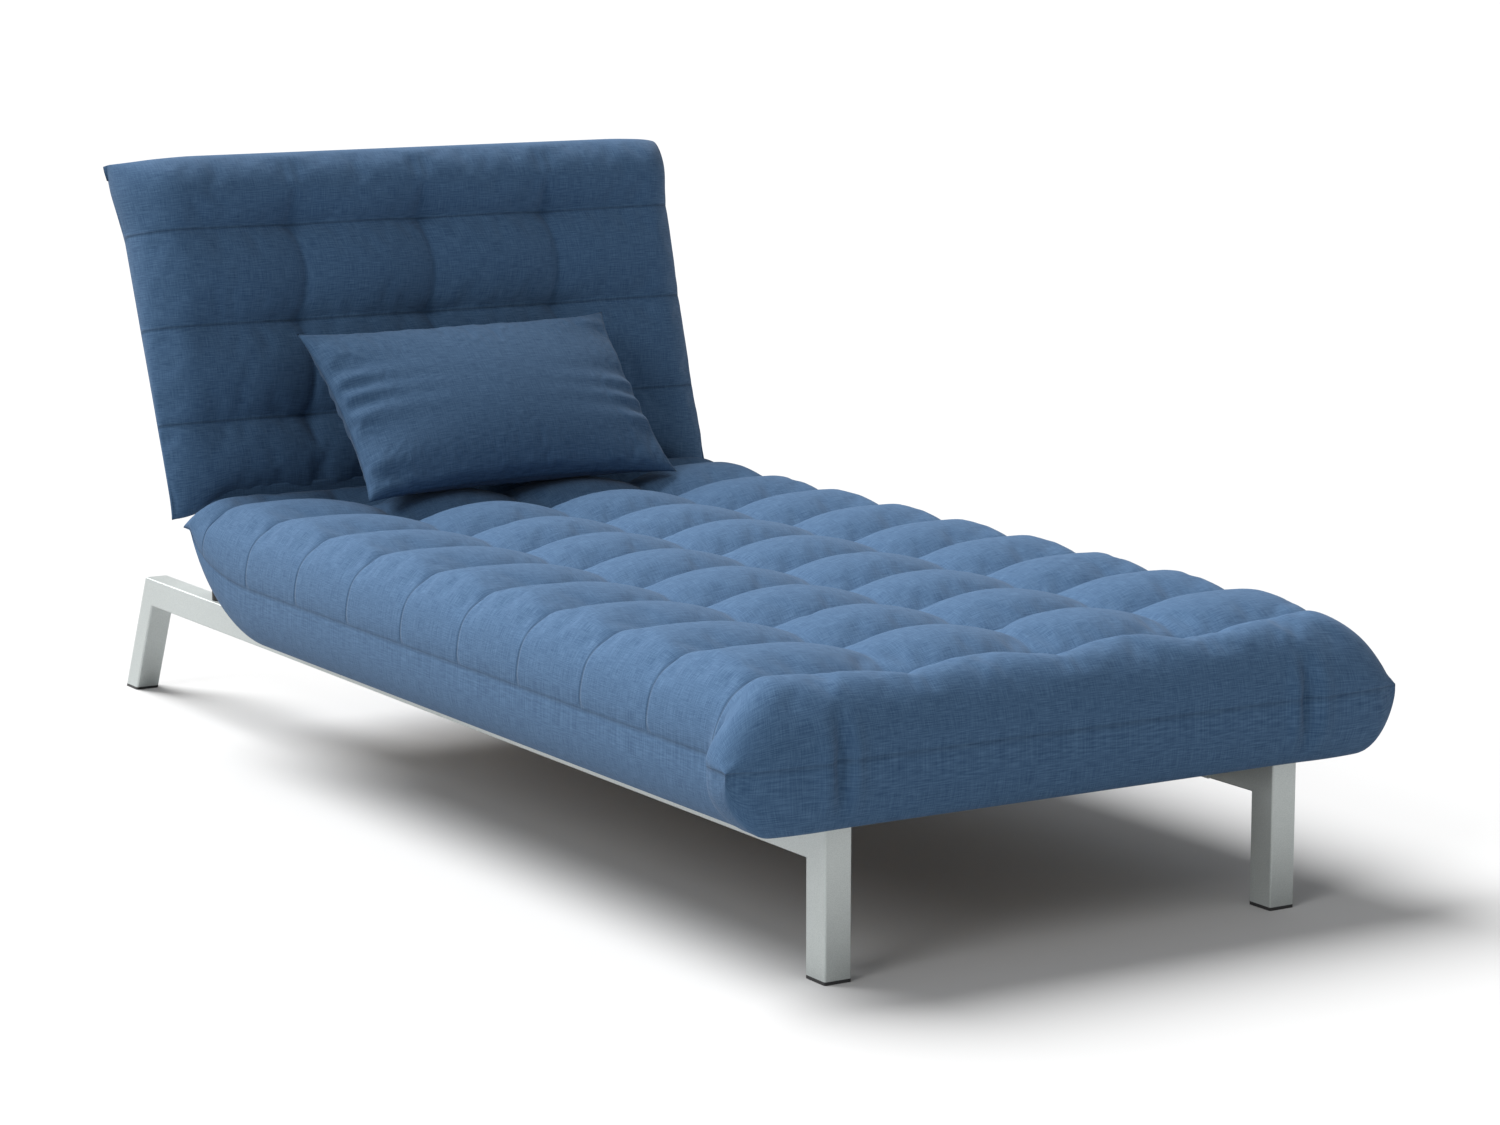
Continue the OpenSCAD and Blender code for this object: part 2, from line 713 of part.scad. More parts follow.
module back_slat(i) {
    reach = arm_out_x - holder_wall - slat_gap;
    color([0.82, 0.68, 0.46]) centred() on_backrest()
        translate([-reach, back_tube_w - slat_t / 2, back_slat_s[i] - slat_w / 2])
            cube([2 * reach, slat_t, slat_w]);
}

module back_slat_holders() {
    color([0.08, 0.08, 0.08]) for (s = SIDES) on_side(s[1]) centred() on_backrest()
        for (at = back_slat_s) translate([arm_out_x, back_tube_w, at])
            rotate([90, 0, 0]) slat_holder();
}

// ---------------------------------------------------------------- pillow

module pillow_outline(a, e) {
    inset = 78 * (1 - pow(cos(a), 1.6)) + e;
    r = max(26 - inset / 3, 3);
    for (x = [-1, 1], y = [-1, 1])
        translate([x * (pillow_w / 2 - inset - r), y * (pillow_h / 2 - inset - r)])
            circle(r, $fn = 16);
}

module pillow(e) {
    centred() translate([8, pivot_y - pillow_front, seat_top_z + pillow_rise])
        rotate([0, 0, pillow_turn]) rotate([90 - pillow_lean, 0, 0])
            hull() for (a = [-90:22.5:90])
                translate([0, 0, (pillow_t / 2 - e) * sin(a) - thin / 2])
                    linear_extrude(thin) pillow_outline(a, e);
}

module pillow_cover() {
    color([0.17, 0.27, 0.43]) difference() {
        pillow(0);
        pillow(cover_t);
    }
}

module pillow_filling() {
    color([0.95, 0.95, 0.93]) pillow(cover_t + cover_gap);
}

// ---------------------------------------------------------------- the whole piece

for (s = SIDES) {
    rail(s[1]);
    front_leg(s[1]);
    rear_leg(s[1]);
    front_foot_cap(s[1]);
    rear_foot_cap(s[1]);
    seat_slat_holders(s[1]);
    hinge_plate(s[1]);
    hinge_pin(s[1]);
    flat_stop(s[1]);
    back_tube_side(s[1]);
    hinge_arm(s[1]);
    pawl(s[1]);
}
for (i = [0:2])
    cross_tube(CROSS_Y[i]);
for (i = [0:seat_slat_count - 1])
    seat_slat(i);
for (i = [0:back_slat_count - 1])
    back_slat(i);
cross_tube_flanges();
frame_bolts();
frame_nuts();
seat_pad_cover();
seat_pad_filling();
hinge_pin_nuts();
hinge_washers();
back_tube_plugs();
back_cross_tube(back_cross_s[0], arm_in_x);  // back_cross_tube_lower
back_cross_tube(back_cross_s[1], arm_out_x);  // back_cross_tube_upper
back_slat_holders();
arm_bolts();
arm_nuts();
back_pad_cover();
back_pad_filling();
pawl_pins();
pawl_springs();
pillow_cover();
pillow_filling();
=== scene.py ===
# %% [markdown]
# # A tufted futon sofa bed on a slim steel base
#
# The steel base, the slats, the hinges and the ratchet come ready made from the imported model.
# What this lesson adds is everything soft, and the finish of every surface: two quilted pads,
# a loose pillow, heathered woven cloth, satin paint, plywood and black plastic.
#
# The frame is loaded first, and its parts and joints are kept; the soft pieces take their sizes from the
# boxes of its parts.

# %% Load the frame
import json
import math
from collections import namedtuple

import bmesh
import bpy
from mathutils import Matrix, Vector
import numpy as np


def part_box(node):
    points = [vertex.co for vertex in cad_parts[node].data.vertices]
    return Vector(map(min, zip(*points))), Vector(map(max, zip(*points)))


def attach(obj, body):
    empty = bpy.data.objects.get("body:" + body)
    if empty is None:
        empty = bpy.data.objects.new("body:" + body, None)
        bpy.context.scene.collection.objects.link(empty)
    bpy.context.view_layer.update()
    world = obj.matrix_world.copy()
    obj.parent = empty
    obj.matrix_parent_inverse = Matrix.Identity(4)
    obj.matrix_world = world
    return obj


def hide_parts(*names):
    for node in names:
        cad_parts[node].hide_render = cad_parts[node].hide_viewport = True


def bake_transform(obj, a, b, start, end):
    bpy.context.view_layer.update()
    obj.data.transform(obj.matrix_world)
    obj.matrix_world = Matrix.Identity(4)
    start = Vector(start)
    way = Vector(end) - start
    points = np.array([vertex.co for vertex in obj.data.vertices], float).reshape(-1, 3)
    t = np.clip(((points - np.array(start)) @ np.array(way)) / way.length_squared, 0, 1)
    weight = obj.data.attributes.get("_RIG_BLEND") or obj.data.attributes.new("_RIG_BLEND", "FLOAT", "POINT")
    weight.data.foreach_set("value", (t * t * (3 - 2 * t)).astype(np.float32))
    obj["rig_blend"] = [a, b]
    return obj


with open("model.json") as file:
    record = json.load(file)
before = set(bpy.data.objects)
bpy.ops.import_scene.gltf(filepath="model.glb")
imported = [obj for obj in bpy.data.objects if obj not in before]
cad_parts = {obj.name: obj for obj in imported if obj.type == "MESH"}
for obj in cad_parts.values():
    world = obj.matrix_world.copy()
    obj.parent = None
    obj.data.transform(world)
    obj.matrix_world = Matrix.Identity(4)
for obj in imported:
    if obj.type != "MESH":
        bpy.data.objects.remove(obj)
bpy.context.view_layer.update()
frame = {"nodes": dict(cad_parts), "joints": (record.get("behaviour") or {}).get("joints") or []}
MM = 0.001

# %% [markdown]
# ## Camera, floor and light
#
# The bed is seen from the foot end, a third of the way round to its left, from a little above
# the pads. A long lens keeps its lines calm. The room is a pale studio: one sheet for the floor,
# a bright sky of one colour, and soft lamps above and to the left, so that faces that look
# towards the foot end stay the darkest.

# %% Camera
# place in metres, turn and downward pitch in radians, lens and sensor in millimetres
CAMERA_AT = Vector((-2.669, -4.617, 1.2214))
CAMERA_TURN = 0.55
CAMERA_PITCH = 0.171
LENS = 98.5
SENSOR_WIDTH = 36.0


def make_camera():
    data = bpy.data.cameras.new("camera")
    data.sensor_width = SENSOR_WIDTH
    data.lens = LENS
    camera = bpy.data.objects.new("camera", data)
    bpy.context.scene.collection.objects.link(camera)
    camera.location = CAMERA_AT
    camera.rotation_euler = (math.pi / 2 - CAMERA_PITCH, 0.0, -CAMERA_TURN)
    bpy.context.scene.camera = camera


make_camera()
print("camera stands", round(CAMERA_AT.length, 2), "m from the middle of the bed")

# %% Floor, sky and lamps
FLOOR_SIDE = 400.0
FLOOR_GREY = 0.50
SKY_STRENGTH = 0.40
LAMPS = [
    # name, the direction it stands in, how wide it looks in degrees, strength
    ("overhead", (-0.28, 0.54, 0.80), 40, 6.2),
    ("left", (-0.80, -0.30, 0.52), 24, 0.9),
]


def make_floor():
    bm = bmesh.new()
    bmesh.ops.create_grid(bm, x_segments=1, y_segments=1, size=FLOOR_SIDE / 2)
    mesh = bpy.data.meshes.new("floor")
    bm.to_mesh(mesh)
    bm.free()
    floor = bpy.data.objects.new("floor", mesh)
    bpy.context.scene.collection.objects.link(floor)
    material = bpy.data.materials.new("studio_floor")
    material.use_nodes = True
    shader = material.node_tree.nodes["Principled BSDF"]
    shader.inputs["Base Color"].default_value = (FLOOR_GREY, FLOOR_GREY, FLOOR_GREY, 1.0)
    shader.inputs["Roughness"].default_value = 0.9
    shader.inputs["Specular IOR Level"].default_value = 0.1
    mesh.materials.append(material)


def make_lamp(name, stands, width, strength):
    data = bpy.data.lights.new(name, "SUN")
    data.energy = strength
    data.angle = math.radians(width)
    lamp = bpy.data.objects.new(name, data)
    bpy.context.scene.collection.objects.link(lamp)
    lamp.rotation_euler = Vector(stands).to_track_quat("Z", "Y").to_euler()


make_floor()
for lamp in LAMPS:
    make_lamp(*lamp)
world = bpy.context.scene.world or bpy.data.worlds.new("studio")
bpy.context.scene.world = world
world.use_nodes = True
sky = world.node_tree.nodes["Background"]
sky.inputs["Color"].default_value = (1.0, 1.0, 1.0, 1.0)
sky.inputs["Strength"].default_value = SKY_STRENGTH
bpy.context.scene.view_settings.view_transform = "Standard"
print(len(LAMPS), "lamps over a floor of", FLOOR_SIDE, "m")

# %% [markdown]
# ## Materials
#
# Each finish is a small node graph. A helper adds a node and sets its sockets by name, so that a
# graph reads as a list of steps. Cloth reads the UV map of its own flat cut, in metres, so that
# the weave follows the surface round a shoulder; painted and moulded pieces read Object
# coordinates, because they don't bend.

# %% Node helpers
COORDS = {"object": ("ShaderNodeTexCoord", "Object"), "uv": ("ShaderNodeTexCoord", "UV")}


class Graph:
    """A material's node tree, with short calls for adding and joining nodes."""

    def __init__(self, name):
        self.material = bpy.data.materials.new(name)
        self.material.use_nodes = True
        self.tree = self.material.node_tree
        self.shader = self.tree.nodes["Principled BSDF"]

    def add(self, kind, settings=None, **sockets):
        node = self.tree.nodes.new(kind)
        for key, value in (settings or {}).items():
            setattr(node, key, value)
        for key, value in sockets.items():
            self.put(node.inputs[key.replace("_", " ")], value)
        return node

    def put(self, socket, value):
        if isinstance(value, bpy.types.NodeSocket):
            self.tree.links.new(value, socket)
        else:
            socket.default_value = value

    def coords(self, space, scale=(1.0, 1.0, 1.0), turn=0.0):
        kind, output = COORDS[space]
        source = self.add(kind)
        mapping = self.add("ShaderNodeMapping", Vector=source.outputs[output])
        mapping.inputs["Scale"].default_value = scale
        mapping.inputs["Rotation"].default_value = (0.0, 0.0, turn)
        return mapping.outputs["Vector"]

    def noise(self, vector, scale, detail=2.0, roughness=0.5):
        node = self.add("ShaderNodeTexNoise", Vector=vector, Scale=scale, Detail=detail)
        node.inputs["Roughness"].default_value = roughness
        return node.outputs["Fac"]

    def ramp(self, factor, stops):
        node = self.add("ShaderNodeValToRGB", Fac=factor)
        while len(node.color_ramp.elements) < len(stops):
            node.color_ramp.elements.new(0.5)
        for element, (place, value) in zip(node.color_ramp.elements, stops):
            element.position = place
            colour = value if isinstance(value, tuple) else (value, value, value)
            element.color = (*colour, 1.0)
        return node.outputs["Color"]

    def mix(self, kind, factor, a, b):
        node = self.add("ShaderNodeMix", {"data_type": "RGBA", "blend_type": kind})
        self.put(node.inputs[0], factor)
        self.put(node.inputs[6], a if not isinstance(a, tuple) else (*a, 1.0))
        self.put(node.inputs[7], b if not isinstance(b, tuple) else (*b, 1.0))
        return node.outputs[2]

    def maths(self, kind, a, b=0.0, clamp=False):
        node = self.add("ShaderNodeMath", {"operation": kind, "use_clamp": clamp})
        self.put(node.inputs[0], a)
        self.put(node.inputs[1], b)
        return node.outputs[0]

    def bump(self, height, distance, strength=1.0, under=None):
        node = self.add("ShaderNodeBump", Height=height, Distance=distance, Strength=strength)
        if under is not None:
            self.put(node.inputs["Normal"], under)
        return node.outputs["Normal"]

    def finish(self, colour, roughness, normal=None, **fixed):
        colour = colour if not isinstance(colour, tuple) else (*colour, 1.0)
        self.put(self.shader.inputs["Base Color"], colour)
        self.put(self.shader.inputs["Roughness"], roughness)
        if normal is not None:
            self.put(self.shader.inputs["Normal"], normal)
        for key, value in fixed.items():
            self.shader.inputs[key.replace("_", " ")].default_value = value
        return self.material


print("helpers ready")

# %% [markdown]
# ### Heathered woven cloth
#
# The cover is a linen-look weave: warp and weft of a dark and a lighter blue, spun unevenly, so
# that short slubs run along both directions. Two stretched noises give the slubs, two wave
# textures give the threads, and a broad, faint noise gives the nap's uneven colour. A soft sheen
# lightens the cloth where it turns away, as loose fibre ends do. Along seams and stitched
# channels the colour is darkened as painted shade, and a bump presses a groove there.

# %% Cloth
THREAD_PITCH = 1.7 * MM


def woven_cloth(name, dark, light, seed):
    g = Graph(name)
    flat = g.coords("uv")
    shifted = g.add("ShaderNodeVectorMath", {"operation": "ADD"})
    g.put(shifted.inputs[0], flat)
    shifted.inputs[1].default_value = (seed, seed * 0.7, 0.0)
    place = shifted.outputs[0]
    slubs = []
    for squeeze in ((46.0, 900.0, 1.0), (900.0, 46.0, 1.0)):
        stretched = g.add("ShaderNodeVectorMath", {"operation": "MULTIPLY"})
        g.put(stretched.inputs[0], place)
        stretched.inputs[1].default_value = squeeze
        slubs.append(g.noise(stretched.outputs[0], 1.0, 3.0, 0.6))
    threads = []
    for direction in ("X", "Y"):
        wave = g.add(
            "ShaderNodeTexWave",
            {"wave_type": "BANDS", "bands_direction": direction, "wave_profile": "SIN"},
            Vector=place,
            Scale=math.pi / (10 * THREAD_PITCH),
            Distortion=1.2,
        )
        wave.inputs["Detail"].default_value = 1.0
        wave.inputs["Detail Scale"].default_value = 3.0
        threads.append(wave.outputs["Fac"])
    weft = g.ramp(slubs[0], [(0.34, 0.0), (0.66, 1.0)])
    warp = g.ramp(slubs[1], [(0.36, 0.0), (0.68, 1.0)])
    heather = g.mix("MIX", 0.42, weft, warp)
    colour = g.mix("MIX", heather, dark, light)
    nap = g.ramp(g.noise(place, 9.0, 4.0, 0.55), [(0.3, 0.985), (0.7, 1.015)])
    colour = g.mix("MULTIPLY", 1.0, colour, nap)
    # Painted shade: the cloth is darkened by up to a third along seams and stitched channels, where shade
    # gathers; the same layer also presses a bump groove there.
    stitch_shade_fac = g.add("ShaderNodeAttribute", {"attribute_name": "stitch_shade"}).outputs["Fac"]
    colour = g.mix("MULTIPLY", 1.0, colour, g.ramp(stitch_shade_fac, [(0.62, 1.0), (0.92, 0.66)]))
    weave = g.maths("MULTIPLY", threads[0], threads[1])
    height = g.maths("ADD", g.maths("MULTIPLY", weave, 0.6), g.maths("MULTIPLY", heather, 0.4))
    groove = g.bump(g.ramp(stitch_shade_fac, [(0.55, 1.0), (0.95, 0.0)]), 1.6 * MM, 0.8)
    normal = g.bump(height, 0.35 * MM, 0.55, groove)
    fuzz = g.ramp(heather, [(0.0, 0.88), (1.0, 0.78)])
    return g.finish(
        colour, fuzz, normal,
        Sheen_Weight=0.06, Sheen_Roughness=0.5, Specular_IOR_Level=0.12,
    )


blue_cloth = woven_cloth("blue_cloth", (0.024, 0.060, 0.126), (0.070, 0.137, 0.236), 0.0)
# Painted shade: the pillow's cloth is the cover's own blue, made a few per cent darker.
pillow_cloth = woven_cloth("pillow_cloth", (0.024, 0.060, 0.122), (0.068, 0.130, 0.224), 3.7)
print("cloth woven at", round(THREAD_PITCH / MM, 1), "mm a thread")

# %% [markdown]
# ### Paint, wood, plastic and steel
#
# The tubes wear a satin silver paint: metal flake in a slightly uneven film. Slats are plywood
# with a long grain, holders and caps are moulded with a fine spark texture, and the small steel
# parts are zinc plated.

# %% Hard finishes


def silver_paint():
    g = Graph("silver_paint")
    place = g.coords("object")
    flake = g.noise(place, 900.0, 2.0, 0.6)
    cloud = g.noise(place, 7.0, 3.0, 0.5)
    tone = g.ramp(flake, [(0.3, (0.41, 0.445, 0.44)), (0.7, (0.53, 0.565, 0.555))])
    tone = g.mix("MULTIPLY", 1.0, tone, g.ramp(cloud, [(0.3, 0.95), (0.7, 1.03)]))
    rough = g.ramp(cloud, [(0.3, 0.36), (0.7, 0.46)])
    film = g.bump(g.noise(place, 260.0, 2.0, 0.5), 0.05 * MM, 0.5)
    return g.finish(tone, rough, film, Metallic=0.55, Coat_Weight=0.15, Coat_Roughness=0.35)


def moulded(name, colour, roughness):
    g = Graph(name)
    place = g.coords("object")
    grain = g.noise(place, 1400.0, 2.0, 0.6)
    smear = g.noise(place, 40.0, 3.0, 0.5)
    tone = g.mix("MIX", g.ramp(smear, [(0.35, 0.0), (0.75, 0.6)]),
                 colour, tuple(min(1.0, c * 1.7 + 0.006) for c in colour))
    rough = g.ramp(smear, [(0.3, roughness - 0.08), (0.7, roughness + 0.08)])
    return g.finish(tone, rough, g.bump(grain, 0.06 * MM, 0.5))


def plywood():
    g = Graph("plywood")
    place = g.coords("object", (3.0, 60.0, 60.0))
    bend = g.noise(place, 1.0, 4.0, 0.6)
    fibre = g.noise(g.coords("object", (14.0, 700.0, 700.0)), 1.0, 3.0, 0.6)
    tone = g.ramp(bend, [(0.3, (0.50, 0.33, 0.17)), (0.55, (0.62, 0.44, 0.25)),
                         (0.75, (0.70, 0.53, 0.33))])
    tone = g.mix("MULTIPLY", 0.5, tone, g.ramp(fibre, [(0.3, 0.78), (0.6, 1.05)]))
    return g.finish(tone, g.ramp(fibre, [(0.3, 0.50), (0.7, 0.62)]),
                    g.bump(fibre, 0.12 * MM, 0.5), Coat_Weight=0.12, Coat_Roughness=0.4)


def plated(name, colour, roughness, metallic=1.0):
    g = Graph(name)
    place = g.coords("object")
    bloom = g.noise(place, 120.0, 4.0, 0.6)
    scratch = g.noise(g.coords("object", (60.0, 900.0, 900.0)), 1.0, 2.0, 0.5)
    tone = g.mix("MULTIPLY", 1.0, colour, g.ramp(bloom, [(0.3, 0.86), (0.7, 1.06)]))
    rough = g.ramp(scratch, [(0.3, roughness - 0.08), (0.7, roughness + 0.1)])
    return g.finish(tone, rough, g.bump(scratch, 0.03 * MM, 0.4), Metallic=metallic)


FINISH = {
    "silver": silver_paint(),
    "plastic": moulded("black_plastic", (0.016, 0.016, 0.017), 0.5),
    "rubber": moulded("black_rubber", (0.012, 0.012, 0.012), 0.75),
    "wood": plywood(),
    "zinc": plated("zinc_plate", (0.60, 0.60, 0.58), 0.34),
    "hinge": plated("grey_hinge_paint", (0.20, 0.21, 0.21), 0.45, 0.6),
    "black": plated("blackened_steel", (0.035, 0.035, 0.037), 0.42, 0.8),
}
FINISH_OF = [
    # words in a node's name, and its finish; the first line that matches counts
    (("foot_cap", "holders", "plugs"), "plastic"),
    (("flat_stop",), "rubber"),
    (("hinge_plate", "hinge_arm"), "hinge"),
    (("frame_bolts", "arm_bolts", "pawl_left", "pawl_right"), "black"),
    (("nuts", "washers", "hinge_pin", "pawl_pins", "pawl_springs"), "zinc"),
    (("slat_",), "wood"),
    (("rail", "leg", "tube", "flanges"), "silver"),
]


def finish_for(node_name):
    for words, finish in FINISH_OF:
        if any(word in node_name for word in words):
            return FINISH[finish]
    return None


dressed = 0
for node_name, node in frame["nodes"].items():
    finish = finish_for(node_name)
    if finish is None:
        continue
    node.data.materials.clear()
    node.data.materials.append(finish)
    dressed += 1
print("frame nodes dressed:", dressed)

# %% [markdown]
# ## Quilted pads
#
# A pad is two cloth panels sewn together round the middle of its edge, over foam. Each panel
# starts as a flat grid whose lines fall on the tufts, so that channels and creases follow grid
# lines. The grid is then rolled over the pad's edges, quilted, and simulated as cloth with air
# pressure behind it while the stitches stay where they are. A little spare cloth in the
# simulation is what makes the small puckers round each stitch.

# %% Curves for shaping cloth


def smooth(t):
    """0 up to t = 0, 1 from t = 1, and an even ramp between them."""
    t = min(1.0, max(0.0, t))
    return t * t * (3 - 2 * t)


def bell(t):
    return math.exp(-t * t)


def fold(t):
    """A groove with a low ridge on either side, as a pleat has."""
    return bell(t) - 0.5 * bell(t - 2.0) - 0.5 * bell(t + 2.0)


def rolled(distance, flat, run, radius, fullness=1.0):
    """How far out and how high a panel is, a distance along it from its middle.

    It is level up to flat, then rolls down to the seam at run through a radius.
    """
    if distance <= flat:
        return distance, 1.0
    turn = min(1.0, (distance - flat) / (run - flat)) * math.pi / 2
    return flat + radius * math.sin(turn) ** fullness, max(0.0, math.cos(turn)) ** fullness


def arc_length(radius, height):
    """Roughly the length of a quarter of an ellipse."""
    return math.pi / 2 * math.sqrt((radius * radius + height * height) / 2)


def steps_in(length, step):
    return round(length / step)


print("a pleat is", round(fold(0.0), 2), "deep, with ridges", round(-fold(2.0), 2), "high")

# %% Panels and pieces
# A flat cut of cloth: how many cells it has each way, their size, and where its corner lies.
Cut = namedtuple("Cut", "cells step corner")


def panel(cut, place):
    """Cloth shaped by place(u, v), where u and v are distances along the flat cut."""
    columns, rows = cut.cells
    bm = bmesh.new()
    bmesh.ops.create_grid(bm, x_segments=columns, y_segments=rows, size=0.5)
    u_layer = bm.verts.layers.float.new("cloth_u")
    v_layer = bm.verts.layers.float.new("cloth_v")
    for vert in bm.verts:
        u = round((vert.co.x + 0.5) * columns) * cut.step[0] + cut.corner[0]
        v = round((vert.co.y + 0.5) * rows) * cut.step[1] + cut.corner[1]
        vert[u_layer], vert[v_layer] = u, v
        vert.co = place(u, v)
    # a layer that paints shade along seams and stitched channels, and sets the depth of a bump groove there
    bm.verts.layers.float.new("stitch_shade")
    uv = bm.loops.layers.uv.new("cloth")
    for face in bm.faces:
        for loop in face.loops:
            loop[uv].uv = (loop.vert[u_layer], loop.vert[v_layer])
    return bm, u_layer, v_layer


def object_from(bm, name, material):
    mesh = bpy.data.meshes.new(name)
    bm.to_mesh(mesh)
    bm.free()
    mesh.materials.append(material)
    for face in mesh.polygons:
        face.use_smooth = True
    piece = bpy.data.objects.new(name, mesh)
    bpy.context.scene.collection.objects.link(piece)
    return piece


def apply_modifiers(piece):
    graph = bpy.context.evaluated_depsgraph_get()
    shaped = bpy.data.meshes.new_from_object(piece.evaluated_get(graph))
    piece.modifiers.clear()
    piece.data = shaped
    return piece


def sharpen_rim(bm):
    """Keeps a panel's rim crisp when it is subdivided, and gives the layer that says so."""
    crease = bm.edges.layers.float.new("crease_edge")
    for edge in bm.edges:
        if edge.is_boundary:
            edge[crease] = 1.0
    return crease


print("a cut of cloth has", ", ".join(Cut._fields))

# %% [markdown]
# ### Air and cloth
#
# A cushion's skin is in tension: the filling pushes out, the stitches hold, and spare cloth turns
# into puckers. The cloth modifier does the same with pressure on the inside and a little negative
# shrinking, and stops after a few frames. What it moves is then written back into the mesh, with
# a limit on how far, so that the pad keeps to its own space.

# %% Cloth simulation
CLOTH_FRAMES = 20


def inflate(piece, held, snug, pressure, spare, cap):
    """Simulates a piece as cloth: held is how firmly each vertex stays, snug where none is spare."""
    start = [v.co.copy() for v in piece.data.vertices]
    groups = [piece.vertex_groups.new(name="held"), piece.vertex_groups.new(name="snug")]
    for group, weights in zip(groups, (held, snug)):
        for index, weight in enumerate(weights):
            group.add([index], weight, "REPLACE")
    cloth = piece.modifiers.new("cloth", "CLOTH")
    cloth.settings.quality = 6
    cloth.settings.mass = 0.25
    cloth.settings.tension_stiffness = 25
    cloth.settings.compression_stiffness = 12
    cloth.settings.shear_stiffness = 6
    cloth.settings.bending_stiffness = 0.35
    cloth.settings.use_pressure = True
    cloth.settings.uniform_pressure_force = pressure
    cloth.settings.shrink_min = -spare
    cloth.settings.shrink_max = 0.0
    cloth.settings.vertex_group_shrink = "snug"
    cloth.settings.vertex_group_mass = "held"
    cloth.settings.pin_stiffness = 4.0
    cloth.settings.effector_weights.gravity = 0.0
    cloth.collision_settings.use_collision = False
    scene = bpy.context.scene
    scene.frame_start, scene.frame_end = 1, CLOTH_FRAMES
    for number in range(1, CLOTH_FRAMES + 1):
        scene.frame_set(number)
    graph = bpy.context.evaluated_depsgraph_get()
    settled = [v.co.copy() for v in piece.evaluated_get(graph).data.vertices]
    piece.modifiers.remove(cloth)
    for group in groups:
        piece.vertex_groups.remove(group)
    scene.frame_set(1)
    furthest = 0.0
    for vert, old, new in zip(piece.data.vertices, start, settled):
        move = new - old
        furthest = max(furthest, move.length)
        if move.length > cap:
            move *= cap / move.length
        vert.co = old + move
    print(piece.name, "moved up to", round(furthest / MM, 1), "mm as cloth")


print("cloth settles for", CLOTH_FRAMES, "frames")

# %% [markdown]
# ### Quilting
#
# A tuft is a stitch right through the pad, and the deepest place. Cloth between the tufts of a
# row is stitched down along a crisp channel, which rises a little between the tufts. Between the
# rows the tufts only pull a soft valley, which bows sideways. Every cell between four tufts then
# stands up as its own puff.

# %% Rows and columns of tufts
COLUMN_PITCH = 202 * MM
COLUMN_CELLS = 22
STEP_X = COLUMN_PITCH / COLUMN_CELLS
COLUMNS_REACH = 1.5
ON_LINE = 0.02
VALLEY_BOW = 11 * MM


def valley_bow(u, row):
    """How far a valley bows sideways between two rows of tufts."""
    fade = smooth((1.6 * COLUMN_PITCH - abs(u)) / (0.6 * COLUMN_PITCH))
    return VALLEY_BOW * fade * abs(math.sin(math.pi * row))


class Rows:
    """The rows of tufts across a pad: where the first one is, their pitch, and how many."""

    def __init__(self, first, pitch, count):
        self.first, self.pitch, self.count = first, pitch, count

    def at(self, v):
        """A place along the cloth, counted in rows from the first."""
        return (v - self.first) / self.pitch

    def stitched(self, row):
        return abs(row - round(row)) < ON_LINE and -0.5 < row < self.count - 0.5

    def bow(self, u, v):
        """The bow of the valleys at a place, which only lies between the rows."""
        row = self.at(v)
        return valley_bow(u, row) if 0 < row < self.count - 1 else 0.0


def on_column(column):
    return abs(column - round(column)) < ON_LINE and abs(column) < COLUMNS_REACH


print("columns of tufts are", round(COLUMN_PITCH / MM), "mm apart")

# %% Depth of the quilting
DIMPLE_SHARE = 0.22
DIMPLE_R = 13 * MM
CHANNEL_FADE = 0.45
# how much painted shade, and bump groove, a stitched channel gets in the cloth
CHANNEL_STITCH_SHADE = 0.9


def puff(t, sharp):
    """0 on a line of stitches, 1 midway between two; t counts pitches."""
    return abs(math.sin(math.pi * t)) ** sharp


def quilt(u, row, rows, shape):
    """Depth of the quilting as a share of a tuft's; row counts the rows of tufts from 0."""
    beyond = max(-row, row - rows.count + 1, 0.0)
    rise = puff(min(beyond, 0.5) if beyond else row, shape["channel_round"])
    between_columns = abs(u) < COLUMNS_REACH * COLUMN_PITCH
    swell = puff(u / COLUMN_PITCH, shape["valley_round"]) if between_columns else 1.0
    channel = (1 - rise) * (shape["channel"] + (1 - shape["channel"]) * (1 - swell))
    channel *= 1 - CHANNEL_FADE * smooth((abs(u) / COLUMN_PITCH - COLUMNS_REACH) / 0.5)
    valley = (1 - swell) * (shape["valley"] + (1 - shape["valley"]) * (1 - rise))
    valley *= 1 - smooth(beyond / 0.42)
    return 1 - (1 - channel) * (1 - valley)


def dimple(u, row, rows):
    """The small pit that the thread itself pulls at each tuft, as a share of its depth."""
    column = min(1, max(-1, round(u / COLUMN_PITCH)))
    nearest = min(rows.count - 1, max(0, round(row)))
    away = math.hypot(u - column * COLUMN_PITCH, (row - nearest) * rows.pitch)
    return DIMPLE_SHARE * bell(away / DIMPLE_R)


def quilted(bm, layers, rows, shape):
    """Presses a panel in along its normals: deepest at the tufts, faint beyond the shoulders."""
    bm.normal_update()
    stitch_shade = bm.verts.layers.float["stitch_shade"]
    low = shape["low_share"]
    pressed = []
    for vert in bm.verts:
        u, row = vert[layers[0]], rows.at(vert[layers[1]])
        press = quilt(u, row, rows, shape) + dimple(u, row, rows)
        level = smooth((vert.normal.z - 0.3) / 0.6)
        pressed.append((vert, shape["depth"] * press * (low + (1 - low) * level)))
        if rows.stitched(row):
            vert[stitch_shade] = CHANNEL_STITCH_SHADE
    for vert, press in pressed:
        if not vert.is_boundary:
            vert.co -= vert.normal * press


print("tufts have pits", round(2 * DIMPLE_R / MM), "mm wide")

# %% How firmly the stitches hold
CHANNEL_HOLD = 0.9
VALLEY_HOLD = 0.4


